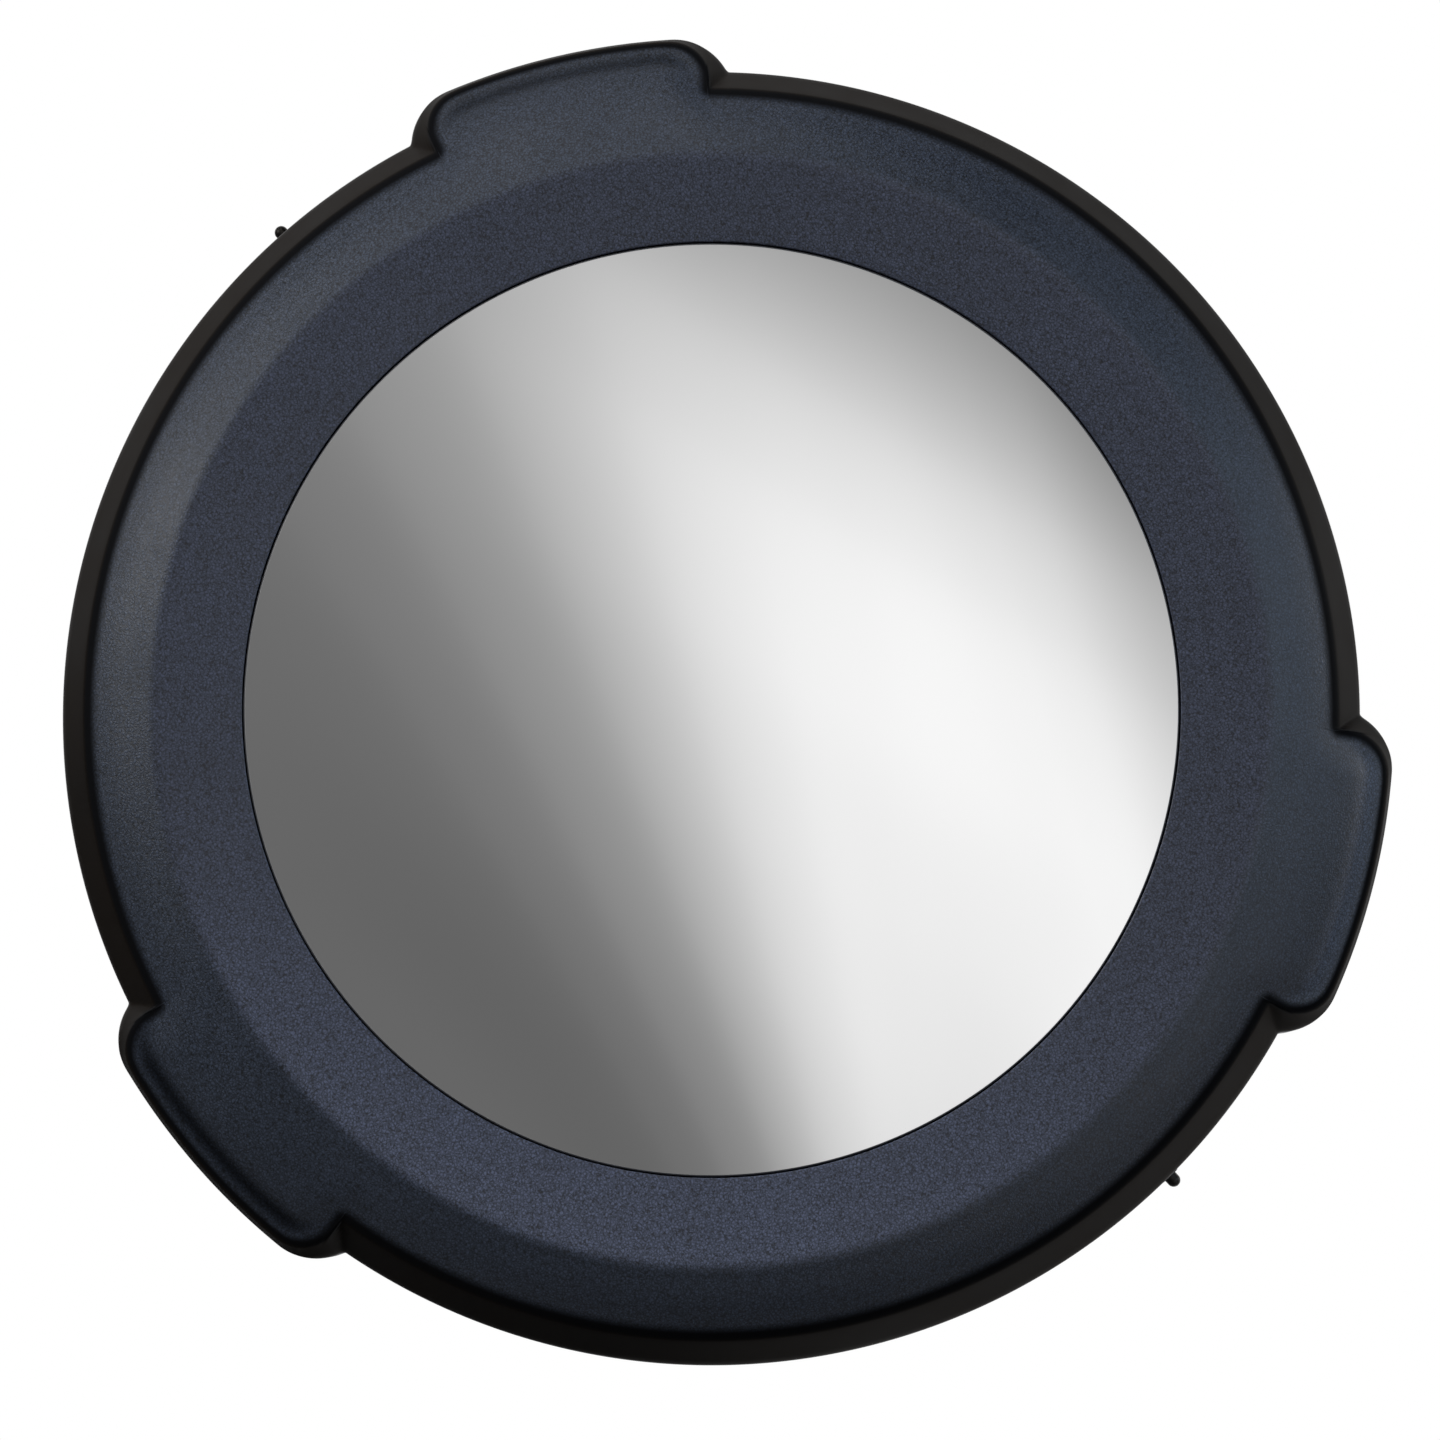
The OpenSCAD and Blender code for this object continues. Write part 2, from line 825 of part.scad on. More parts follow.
// Plate with round corners and countersunk holes for the wall screws
module wall_plate() {
    inner_w = plate_w / 2 - plate_corner_r;
    inner_h = plate_h / 2 - plate_corner_r;
    sink = hole_d / 2;
    color([0.07, 0.07, 0.075])
    rotate([90, 0, 0])
    difference() {
        linear_extrude(plate_t) {
            square([plate_w, 2 * inner_h], center = true);
            square([2 * inner_w, plate_h], center = true);
            for (x = [-1, 1], z = [-1, 1])
                translate([x * inner_w, z * inner_h])
                circle(plate_corner_r);
        }
        for (x = [-1, 1], z = [-1, 1])
            translate([x * hole_pitch_w / 2, z * hole_pitch_h / 2, 0]) {
                translate([0, 0, -past])
                cylinder(h = plate_t + 2 * past, d = hole_d);
                translate([0, 0, plate_t - sink])
                cylinder(h = sink, d1 = hole_d, d2 = hole_d + 2 * sink);
            }
    }
}

// Locking knob below the clevis, with scalloped grips
module lock_knob() {
    knob_r = knob_d / 2;
    low = [knob_r, knob_base_h];
    high = [knob_r, knob_h];
    color([0.05, 0.05, 0.055])
    translate([0, -pan_standoff, knob_top])
    mirror([0, 0, 1])
    difference() {
        rotate_extrude()
        polygon(concat(
            [[0, 0], [knob_r - grip_start, 0]],
            round_at([0, knob_base_h], low, high, knob_base_r),
            round_at(low, high, [0, knob_h], knob_crown_r),
            [[0, knob_h]]
        ));
        for (i = [0 : knob_grips - 1])
            rotate((i + 0.5) * 360 / knob_grips)
            translate([knob_r + grip_cut_d / 4, 0, grip_start])
            cylinder(h = knob_h, d = grip_cut_d);
        translate([0, 0, -past])
        cylinder(h = insert_l + past, d = insert_d + 2 * run_gap);
    }
}

// Brass threaded insert in the knob
module knob_insert() {
    color([0.7, 0.56, 0.28])
    translate([0, -pan_standoff, knob_top - insert_l])
    difference() {
        cylinder(h = insert_l, d = insert_d);
        translate([0, 0, insert_l - bolt_in_knob - past])
        cylinder(h = bolt_in_knob + 2 * past, r = bolt_r + run_gap);
    }
}

front_shell();
mirror_dome();
mirror_seal();
backing_board();
back_cover();
screw_blocks();
cover_screws();
pivot_bush_left();
pivot_bush_right();
friction_washer_left();
friction_washer_right();
pivot_pin_left();
pivot_pin_right();
pin_nuts();
yoke_bar();
yoke_lug();
foot_screws();
thrust_washers();
pan_bolt();
bolt_washer();
arm_clevis();
support_arm();
wall_plate();
lock_knob();
knob_insert();
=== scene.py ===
import math

import bmesh
import bpy
import numpy as np
from mathutils import Matrix, Vector


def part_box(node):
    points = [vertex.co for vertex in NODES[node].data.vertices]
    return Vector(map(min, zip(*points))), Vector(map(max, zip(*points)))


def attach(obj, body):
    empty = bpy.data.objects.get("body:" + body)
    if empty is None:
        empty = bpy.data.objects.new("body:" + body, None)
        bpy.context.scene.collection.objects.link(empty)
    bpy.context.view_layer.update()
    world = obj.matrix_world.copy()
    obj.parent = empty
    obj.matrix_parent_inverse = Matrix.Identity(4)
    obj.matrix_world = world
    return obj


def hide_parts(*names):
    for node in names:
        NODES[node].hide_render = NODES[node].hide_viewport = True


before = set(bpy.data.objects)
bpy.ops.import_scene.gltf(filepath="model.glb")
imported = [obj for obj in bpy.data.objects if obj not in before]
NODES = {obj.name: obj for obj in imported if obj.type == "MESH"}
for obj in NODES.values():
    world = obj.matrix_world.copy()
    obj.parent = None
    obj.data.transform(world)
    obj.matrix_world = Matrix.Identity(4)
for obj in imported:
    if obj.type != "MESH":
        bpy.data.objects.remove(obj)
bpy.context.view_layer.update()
MM = 0.001

# Front shell, in millimetres from its own axis and rim plane, with the rim just inside the solid
RIM_R = 209.99
SKIRT_DEPTH = 24.0
SKIRT_TOP = -0.8
SHEET_T = 3.0
WALL_LEAN = math.radians(28.0)
BEVEL_ANGLE = math.radians(30.0)
BEVEL_CROWN = 0.04  # rise of the bevel's middle, as a share of its width
RING_DIP = math.radians(7.15)
RIDGE_R = 178.6
RIDGE_H = 29.65
RIDGE_ROUND = 2.6
UNDER_RIDGE_R = RIDGE_R - 0.6
UNDER_RIDGE_H = RIDGE_H - SHEET_T - 0.2
VIEW_R = 150.0
LIP_H = RIDGE_H - (RIDGE_R - VIEW_R) * math.tan(RING_DIP)
UNDER_LIP_H = LIP_H - SHEET_T / math.cos(RING_DIP)
LIP_ROUND = 0.45
BACK_ROUND = 0.8
SMALL_CUT = 0.3  # cut corners of the lip's underside and of the mirror's flange

# Round edge between the wall and the bevel
EDGE_IN = 4.0  # way up the bevel
EDGE_DOWN = 1.9  # way down the wall
FOOT_LEAST = 0.25  # least height of its foot, as a share of the edge's height

# Directions in a section of the shell, as radius and height
UP_BEVEL = np.array([-math.cos(BEVEL_ANGLE), math.sin(BEVEL_ANGLE)])
OFF_BEVEL = np.array([math.sin(BEVEL_ANGLE), math.cos(BEVEL_ANGLE)])
DOWN_RING = np.array([-math.cos(RING_DIP), -math.sin(RING_DIP)])

# Lobes of the rim, at bearings in degrees, with their round shoulders
LOBE_BEARINGS = (32.0, 150.0, 268.0)
LOBE_R = 220.95
LOBE_HALF_SPAN = math.radians(9.7)
SHOULDER_R = 19.5
SHOULDER_AT = LOBE_R - SHOULDER_R
SHOULDER_REACH = 0.5  # radians past the top of a lobe, within which its shoulder ends
NOTCH_ROUND = 1.6

# What changes on the lobes, within degrees of their middles: the wall, the black edge and a shallow dent
LOBE_SPAN = 13.5
LOBE_FADE = 5.0
LOBE_STEEP = 0.45  # share of the wall's lean that is lost
LOBE_TIGHT = 0.9  # share added to distances from the edge, which narrows the black edge
DENT_DEPTH = 0.7
DENT_INSET = 7.4  # way up the bevel
DENT_REACH = 4.0
DENT_PAINTED_LIGHT = (2.0, 0.42, 0.18)  # tone factor in the dent of each lobe, where 1 is the bevel's own: painted light in the first lobe's dent, painted shade in the other two

# Sections of the shell, in degrees, closer together on the flanks of the lobes
SECTION_STEP = 0.5
FLANK_STEP = 0.1
FLANK_RANGE = (6.0, 18.0)
HALVINGS = 50  # steps of the search for the edge's height
EDGE_SEARCH = 40  # sections to each side among which the nearest point of the edge lies

# Mirror dome, its neck through the lip and the flange behind it
NECK_GAP = 0.4
NECK_R = VIEW_R - NECK_GAP
DOME_SAG = 20.0
DOME_R = (NECK_R ** 2 + DOME_SAG ** 2) / (2 * DOME_SAG)
DOME_T = 3.0
EDGE_DROP = 0.6  # how far the dome's edge lies below the lip
CUT_ROUND = 0.4
FLANGE_W = 9.0
SEAL_T = 2.5
POLE_R = 0.5  # radius of the small caps at the middle of the face and of the back
FACE_END = 1.5  # where the even rows of the face end, in from the neck
FACE_ROWS = 90
CUT_ROWS = (0.3, 0.06, 0.0)  # last rows of the face, in from its rounded cut
BACK_RADII = (120.0, 80.0, 40.0)
MIRROR_STEP = 1.0  # degrees

# Weld round the support arm
ARM_R = 12.5
WELD_LEG = 4.0
WELD_BULGE = 0.7
WELD_RIPPLES = 34
WELD_RIPPLE = 0.22
WELD_LAG = 3.0  # radians by which the ripples trail at the edges of the bead
WELD_ROWS = 11
WELD_IN_ARM = 0.5
WELD_IN_PLATE = 0.3
WELD_STEP = 1.0  # degrees

# Rounding of CAD nodes: points to merge, in metres, faces to join as flat, and edges to round
MERGE_WITHIN = 1e-6
FLAT_ANGLE = math.radians(0.6)
HARD_ANGLE = math.radians(32.0)

# Place of the shell's axis and rim plane in the frame
shell_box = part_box("front_shell")
dome_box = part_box("mirror_dome")
RIM_Y = shell_box[1].y - SKIRT_DEPTH * MM
AXIS_Z = (dome_box[0].z + dome_box[1].z) / 2
MIDDLE = Vector((0.0, RIM_Y, AXIS_Z))

# Directions of the photograph's picture plane, and the way the mirror faces
RIGHT = Vector((0.6845, 0.0, 0.7290)).normalized()
UP = Vector((-0.7290, 0.0, 0.6845)).normalized()
FRONT = Vector((0.0, -1.0, 0.0))

# Zones of the shell's plastic, in millimetres from the round edge, from the ridge and above the rim
FACE_ZONE = (0.8, 5.2)
WALL_ZONE = (-0.5, -2.6)
RING_ZONE = (-2.0, 2.0)
SKIRT_ZONE = (0.0, -1.5)

# Tones of the shell's plastic
BEVEL_TONE = (0.022, 0.029, 0.045)
RING_TONE = (0.030, 0.036, 0.057)
EDGE_TONE = (0.0048, 0.0050, 0.0058)
WALL_TONES = ((0.0070, 0.0056, 0.0048), (0.0097, 0.0075, 0.0060))
SKIRT_TONE = (0.030, 0.034, 0.046)

# Painted light on the ring, paler towards one side: the way to it, its start and end in metres off the Y
# axis, and its most
PAINTED_LIGHT_WAY = -0.174 * RIGHT - 0.985 * UP
PAINTED_LIGHT_RANGE = (0.06, 0.165)
PAINTED_LIGHT_MOST = 1.5

# Leather grain of the shell: its sizes in metres, and how its relief turns into specks of tone and gloss
GRAIN_SIZE = 0.0010
GRAIN_FINE = 0.0008
GRAIN_DEPTH = 0.00013
BEND_SIZE = 0.0012
BEND_REACH = 0.0010
CELL_RANGE = (0.02, 0.34)
CELL_SHARE = 0.35
RELIEF_RANGE = (0.4, 0.9)
SPECK_RANGE = (0.15, 1.95)
SHELL_GLOSS = (0.015, 0.5)

# Silver of the mirror, and its dull cut edge, which starts in millimetres from the neck's radius
SILVER = (0.97, 0.97, 0.97)
CUT_TONE = (0.05, 0.05, 0.055)
CUT_ROUGH = 0.5
CUT_ZONE = (-0.62, -0.46)

# Tones of the powder coat and of the back cover, whole and worn
COAT_TONES = ((0.012, 0.012, 0.013), (0.018, 0.018, 0.019))
COAT_WORN = (0.13, 0.126, 0.122)
COVER_TONES = ((0.026, 0.026, 0.029), (0.036, 0.036, 0.040))
COVER_WORN = (0.072, 0.072, 0.076)

# Ranges of a noise: where most of it lies, and where wear, smears and rubs set in
NOISE_RANGE = (0.3, 0.7)
WEAR_RANGE = (0.45, 0.65)
SMEAR_RANGE = (0.45, 0.8)
RUB_RANGE = (0.58, 0.74)

# How well the rounded normal at an edge matches the true one, from no wear to full wear
EDGE_TURN = (0.99, 0.9)

# Camera of the photograph: upright frame turned in the picture, seen from just below the picture's middle
PICTURE_PX = 1440
FOCAL_PX = 6198.0
RIM_AT_PX = (711.5, 713.4)
SENSOR_W = 36.0
CAMERA_AWAY = 2.0
CAMERA_BELOW = 0.154

# Studio that the mirror shows: a fan of light that opens from a point below and right of it
FAN_RIGHT = 0.3
FAN_BELOW = 1.1
FAN_RANGE = (-0.88, 0.235)
FAN_STOPS = (
    (0.0, 0.185), (0.18, 0.177), (0.27, 0.207), (0.36, 0.281), (0.455, 0.44), (0.545, 0.735),
    (0.636, 0.955), (0.727, 0.99), (0.82, 0.95), (0.91, 0.935), (1.0, 0.97),
)

# The fan's two fall-offs, and the levels of the rest of the studio
HIGH_WAY = 0.5 * RIGHT + 0.866 * UP
HIGH_RANGE = (-0.5, 0.62)
HIGH_STOPS = (
    (0.0, 0.8), (0.13, 0.81), (0.25, 0.887), (0.375, 0.935), (0.5, 0.966), (0.62, 1.0), (0.75, 0.916),
    (0.87, 0.68), (1.0, 0.347),
)
FAR_WAY = 0.966 * RIGHT + 0.259 * UP
FAR_RANGE = (0.1, 0.58)
FAR_STOPS = (
    (0.0, 0.926), (0.165, 0.926), (0.33, 0.964), (0.49, 1.0), (0.66, 0.998), (0.82, 0.9), (1.0, 0.65),
)
AHEAD_RANGE = (0.55, 0.78)
BEHIND_RANGE = (0.0, -0.5)
SIDE_LEVEL = 0.03

# Even light of the world, which matt surfaces see
AMBIENT = 0.03

# Lamps: their distance in metres, the slant of those in front in degrees, and their colours
LAMP_AWAY = 5.0
FRONT_SLANT = 60.0
WHITE = (1.0, 1.0, 1.0)
COOL = (0.78, 0.96, 1.2)

# Floor, in metres, with its tones for the camera and for light that bounces off it
FLOOR_Z = -0.75
FLOOR_R = 1.15
FLOOR_HUB_R = 0.02
FLOOR_RINGS = 24
FLOOR_STEP = 5.0  # degrees
FLOOR_TONE = (0.86, 0.86, 0.86)
FLOOR_BOUNCE_TONE = (0.15, 0.15, 0.15)
FLOOR_FADE = (0.55, 0.95)  # start and end of its fade to white, as shares of its radius


def turn_round(step):
    """Bearings of a whole turn, at a step in degrees."""
    return np.radians(np.arange(0.0, 360.0, step))


def on_head(r, bearing, height):
    """Points of the frame for radii, bearings and heights in front of the rim, in millimetres."""
    r, bearing, height = np.broadcast_arrays(r, bearing, height)
    x = r * np.cos(bearing) * MM
    y = RIM_Y - height * MM
    z = AXIS_Z + r * np.sin(bearing) * MM
    return np.stack([x, y, z], axis=-1)


def smooth_max(a, b, width):
    """The larger of two lengths, blended over a width where they are close."""
    near = np.clip(width - np.abs(a - b), 0.0, None) / width
    return np.maximum(a, b) + near * near * width / 4


def hump(t):
    """Smooth rise from 0 to 1 and back, as t goes from 0 to 1."""
    return 16 * (t * (1 - t)) ** 2


def off_lobe(bearing, middle):
    """Angle of each bearing off the middle of a lobe, up to half a turn to either side."""
    return (bearing - math.radians(middle) + math.pi) % (2 * math.pi) - math.pi


def lobe_sum(bearing, levels):
    """Level of the lobe at each bearing, which fades to 0 towards its flanks."""
    total = 0.0 * bearing
    for middle, level in zip(LOBE_BEARINGS, levels):
        off = np.degrees(np.abs(off_lobe(bearing, middle)))
        near = np.clip((LOBE_SPAN - off) / LOBE_FADE, 0.0, 1.0)
        total = total + level * near * near * (3 - 2 * near)
    return total


def lobe_share(bearing):
    """How far each bearing lies on the middle of a lobe, from 0 to 1."""
    return lobe_sum(bearing, [1.0 for _ in LOBE_BEARINGS])


def lobe_reach(bearing, middle, inset):
    """Radius that one lobe reaches at each bearing, or zero where it has none."""
    past = np.abs(off_lobe(bearing, middle)) - LOBE_HALF_SPAN
    side = SHOULDER_AT * np.sin(past)
    radius = SHOULDER_R - inset
    inside = np.clip(radius * radius - side * side, 0.0, None)
    shoulder = SHOULDER_AT * np.cos(past) + np.sqrt(inside)
    on_shoulder = (past > 0) & (past < SHOULDER_REACH) & (side < radius)
    on_top = np.where(past <= 0, LOBE_R - inset, 0.0)
    return np.where(on_shoulder, shoulder, on_top)


def outline(bearing, inset):
    """Radius of the lobed outline, drawn in by an inset."""
    rim = RIM_R - inset + 0.0 * bearing
    for middle in LOBE_BEARINGS:
        rim = smooth_max(rim, lobe_reach(bearing, middle, inset), NOTCH_ROUND)
    return rim


def wall_slope(bearing):
    """How far the wall leans in for each millimetre of height, less on the lobes."""
    return math.tan(WALL_LEAN) * (1 - LOBE_STEEP * lobe_share(bearing))


def bevel_radius(height, drop):
    """Radius of the bevel's cone, shifted back by a drop, at a height."""
    return RIDGE_R + (RIDGE_H - drop - height) / math.tan(BEVEL_ANGLE)


def edge_height(bearing, inset, drop):
    """Height where the leaning wall meets the bevel at each bearing."""
    low = np.full_like(bearing, -SKIRT_DEPTH)
    high = np.full_like(bearing, RIDGE_H)
    for _ in range(HALVINGS):
        mid = (low + high) / 2
        wall = outline(bearing, inset + mid * wall_slope(bearing))
        outside = wall > bevel_radius(mid, drop)
        high = np.where(outside, mid, high)
        low = np.where(outside, low, mid)
    return (low + high) / 2


def shell_bearings():
    """Bearings of the shell's sections, closer together on the flanks of the lobes."""
    bearings = [np.arange(0.0, 360.0, SECTION_STEP)]
    for middle in LOBE_BEARINGS:
        for side in (-1, 1):
            bearings.append(middle + side * np.arange(*FLANK_RANGE, FLANK_STEP))
    every = np.concatenate(bearings) % 360.0
    return np.radians(np.unique(np.round(every, 3)))


def pair(r, h, like):
    """Radius and height as one array of points, one for each bearing."""
    zero = 0.0 * like
    return np.stack([r + zero, h + zero], axis=-1)


def curve_through(start, corner, end, count):
    """Points of a round that leaves start and reaches end along the two sides of a corner."""
    t = np.linspace(0.0, 1.0, count)[:, None, None]
    return (1 - t) ** 2 * start + 2 * t * (1 - t) * corner + t ** 2 * end


def line_between(start, end, count):
    """Points from start to end, both left out."""
    t = np.linspace(0.0, 1.0, count + 2)[1:-1, None, None]
    return start + t * (end - start)


def wall_points(bearing, inset, low, high, count):
    """Points along the leaning wall, or the straight skirt below the rim, from one height to another."""
    rows = []
    for t in np.linspace(0.0, 1.0, count):
        h = low + t * (high - low)
        lean = np.clip(h, 0.0, None) * wall_slope(bearing)
        rows.append(pair(outline(bearing, inset + lean), h, bearing))
    return np.array(rows)


def inward(rows, corner):
    """How far each point lies up the bevel from its outer corner."""
    return (rows - corner[None]) @ UP_BEVEL


def dent_form(way):
    """Depth of the dent's section, from 0 to 1, by the way up the bevel."""
    return np.exp(-((way - DENT_INSET) / DENT_REACH) ** 2)


def crowned(rows, corner, bearing):
    """Rows of the outside with the bevel's slight crown and the dents of the lobes."""
    on_rim = corner[:, 0].min()
    span = on_rim + (corner[:, 0].max() - on_rim) * lobe_share(bearing) - RIDGE_R
    t = np.clip((rows[..., 0] - RIDGE_R) / span, 0.0, 1.0)
    crown = BEVEL_CROWN * span * hump(t)
    dent = DENT_DEPTH * lobe_share(bearing) * dent_form(inward(rows, corner))
    return rows + (crown - dent)[..., None] * OFF_BEVEL


def skirt_rows(bearing, foot):
    """Outside of the skirt and of the leaning wall, from the back edge to the foot of the round edge."""
    back = outline(bearing, 0.0)
    back_in = pair(back - BACK_ROUND, -SKIRT_DEPTH, bearing)
    back_corner = pair(back, -SKIRT_DEPTH, bearing)
    back_top = pair(back, -SKIRT_DEPTH + BACK_ROUND, bearing)
    return np.concatenate([
        curve_through(back_in, back_corner, back_top, count=4),
        line_between(back_top, pair(back, SKIRT_TOP, bearing), count=5),
        wall_points(bearing, 0.0, SKIRT_TOP, foot, count=9),
    ])


def face_rows(bearing, edge_end):
    """Bevel, ridge, ring and lip, from the round edge to the mirror."""
    ridge = pair(RIDGE_R, RIDGE_H, bearing)
    lip = pair(VIEW_R, LIP_H, bearing)
    ridge_in = ridge - UP_BEVEL * RIDGE_ROUND
    ridge_out = ridge + DOWN_RING * RIDGE_ROUND
    lip_in = lip - DOWN_RING * LIP_ROUND
    lip_out = lip - np.array([0.0, LIP_ROUND])
    return np.concatenate([
        line_between(edge_end, ridge_in, count=24),
        curve_through(ridge_in, ridge, ridge_out, count=9),
        line_between(ridge_out, lip_in, count=6),
        curve_through(lip_in, lip, lip_out, count=5),
    ])


def inside_rows(bearing):
    """Underside of the ring and the bevel, and the inside of the wall and the skirt."""
    drop = SHEET_T / math.cos(BEVEL_ANGLE)
    edge = edge_height(bearing, SHEET_T, drop)
    corner = pair(bevel_radius(edge, drop), edge, bearing)
    under_ridge = pair(UNDER_RIDGE_R, UNDER_RIDGE_H, bearing)
    back = outline(bearing, SHEET_T)
    return np.concatenate([
        pair(VIEW_R, UNDER_LIP_H + SMALL_CUT, bearing)[None],
        pair(VIEW_R + SMALL_CUT, UNDER_LIP_H, bearing)[None],
        under_ridge[None],
        line_between(under_ridge, corner, count=4),
        corner[None],
        wall_points(bearing, SHEET_T, edge, -SKIRT_DEPTH + BACK_ROUND, count=9)[1:],
        pair(back + BACK_ROUND, -SKIRT_DEPTH, bearing)[None],
    ])


def edge_distance(rows, middle, bearing):
    """Distance of each point from the middle row of the round edge, which is below 0 on the wall."""
    place = on_head(rows[..., 0], bearing, rows[..., 1]) / MM
    line = place[middle]
    steps = np.roll(line, -1, axis=0) - line
    nearest = np.full(rows.shape[:2], np.inf)
    for shift in range(-EDGE_SEARCH, EDGE_SEARCH + 1):
        step = np.roll(steps, shift, axis=0)
        off = place - np.roll(line, shift, axis=0)
        along = np.clip((off * step).sum(axis=-1) / (step * step).sum(axis=-1), 0.0, 1.0)
        nearest = np.minimum(nearest, np.linalg.norm(off - along[..., None] * step, axis=-1))
    nearest[:middle] *= -1.0
    return nearest * (1.0 + LOBE_TIGHT * lobe_share(bearing))


def shell_section(bearing):
    """Closed section of the shell at each bearing, with each point's distance from the edge and its painted
    light and shade in the lobes' dents.
    """
    edge = edge_height(bearing, 0.0, 0.0)
    corner = pair(bevel_radius(edge, 0.0), edge, bearing)
    skirt = skirt_rows(bearing, np.clip(edge - EDGE_DOWN, FOOT_LEAST * edge, None))
    edge_end = corner + UP_BEVEL * EDGE_IN
    round_edge = curve_through(skirt[-1], corner, edge_end, count=12)[1:]
    plain = np.concatenate([skirt, round_edge, face_rows(bearing, edge_end)])
    outside = crowned(plain, corner, bearing)
    from_edge = edge_distance(outside, len(skirt) + len(round_edge) // 2, bearing)
    # Painted light and shade in the lobes' dents, as a factor on the bevel's tone
    rub_and_painted_light = lobe_sum(bearing, [tone - 1.0 for tone in DENT_PAINTED_LIGHT]) * dent_form(inward(plain, corner))
    inside = inside_rows(bearing)
    # The inside counts as wall, far from the edge and with no painted light and shade
    hidden = np.zeros(inside.shape[:2])
    return (
        np.concatenate([outside, inside]),
        np.concatenate([from_edge, hidden - SKIRT_DEPTH]),
        np.concatenate([1.0 + rub_and_painted_light, hidden]),
    )


def place_piece(piece, material, body, slot, *nodes):
    """Gives a new piece its material and its body, and hides the CAD nodes that it stands for; its slot is
    not used.
    """
    piece.data.materials.append(material)
    bpy.context.scene.collection.objects.link(piece)
    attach(piece, body)
    if nodes:
        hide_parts(*nodes)


def mesh_object(name, points, faces):
    """New smooth mesh object."""
    mesh = bpy.data.meshes.new(name)
    mesh.from_pydata([tuple(p) for p in points], [], [tuple(f) for f in faces])
    mesh.polygons.foreach_set("use_smooth", [True] * len(mesh.polygons))
    mesh.update()
    return bpy.data.objects.new(name, mesh)


def grid_faces(rows, columns, closed_rows):
    """Quads of a grid of points that closes round its columns, and round its rows if asked."""
    faces = []
    last = rows if closed_rows else rows - 1
    for i in range(last):
        j = (i + 1) % rows
        for k in range(columns):
            m = (k + 1) % columns
            faces.append((i * columns + k, i * columns + m, j * columns + m, j * columns + k))
    return faces


def cap_face(row, columns):
    """One face over a whole row of a grid."""
    return tuple(row * columns + k for k in range(columns))


def note_points(piece, name, values):
    """Keeps one number for each point of a piece, which its material reads."""
    piece.data.attributes.new(name, "FLOAT", "POINT").data.foreach_set("value", values.ravel())


def build_shell(material):
    """Formed plastic front with its lobes, wall, bevel, ridge, ring and lip."""
    bearing = shell_bearings()
    section, from_edge, rub_and_painted_light = shell_section(bearing)
    rows, columns = section.shape[:2]
    points = on_head(section[..., 0], bearing, section[..., 1]).reshape(-1, 3)
    piece = mesh_object("shell_front", points, grid_faces(rows, columns, True))
    note_points(piece, "from_edge", from_edge)
    note_points(piece, "from_ridge", RIDGE_R - section[..., 0])
    note_points(piece, "height", section[..., 1])
    note_points(piece, "rub_and_painted_light", rub_and_painted_light)
    place_piece(piece, material, "mirror_head", "shell_plastic", "front_shell")


def dome_rows(sphere_r, radius):
    """Radius and height of points on the dome's sphere, or on the one that lies inside it."""
    middle_h = LIP_H - EDGE_DROP + DOME_SAG - DOME_R
    return np.stack([radius, middle_h + np.sqrt(sphere_r ** 2 - radius ** 2)], axis=-1)


def mirror_section():
    """Section of the mirror from the middle of its face, over the neck and the flange, to its back."""
    even_rows = np.linspace(POLE_R, NECK_R - FACE_END, FACE_ROWS)
    last_rows = NECK_R - CUT_ROUND - np.array(CUT_ROWS)
    face = dome_rows(DOME_R, np.append(even_rows, last_rows))
    edge = np.array([NECK_R, LIP_H - EDGE_DROP])
    neck_top = edge - np.array([0.0, CUT_ROUND])
    cut = curve_through(face[-1], edge, neck_top, count=5)[1:, 0]
    flange_h = UNDER_LIP_H - SEAL_T
    flange_r = VIEW_R + FLANGE_W
    back_h = flange_h - DOME_T
    inner_r = NECK_R - DOME_T
    flange = np.array([
        [NECK_R, flange_h + SMALL_CUT], [NECK_R + SMALL_CUT, flange_h],
        [flange_r - SMALL_CUT, flange_h], [flange_r, flange_h - SMALL_CUT],
        [flange_r, back_h + SMALL_CUT], [flange_r - SMALL_CUT, back_h],
        [inner_r + SMALL_CUT, back_h], [inner_r, back_h + SMALL_CUT],
    ])
    back = dome_rows(DOME_R - DOME_T, np.array([inner_r, inner_r - SMALL_CUT, *BACK_RADII, POLE_R]))
    return np.concatenate([face, cut, flange, back])


def build_mirror(material):
    """Silvered dome with a neck through the lip and a flat flange behind it."""
    radius, height = mirror_section().T
    bearing = turn_round(MIRROR_STEP)
    rows = len(radius)
    columns = len(bearing)
    points = on_head(radius[:, None], bearing, height[:, None]).reshape(-1, 3)
    faces = grid_faces(rows, columns, False)
    faces.append(cap_face(0, columns)[::-1])
    faces.append(cap_face(rows - 1, columns))
    piece = mesh_object("mirror_face", points, faces)
    note_points(piece, "from_rim", np.repeat(radius - NECK_R, columns))
    place_piece(piece, material, "mirror_head", "mirror", "mirror_dome")


def weld_row(t, bearing):
    """Distances of one line of the bead from the arm's axis and from the plate, from plate to arm."""
    ripple = WELD_RIPPLE * np.cos(WELD_RIPPLES * bearing + WELD_LAG * (2 * t - 1) ** 2)
    bulge = (WELD_BULGE + ripple) * math.sin(math.pi * t)
    out = ARM_R + WELD_LEG * (1 - t) + bulge * math.sqrt(0.5)
    rise = WELD_LEG * t + bulge * math.sqrt(0.5)
    return out, rise


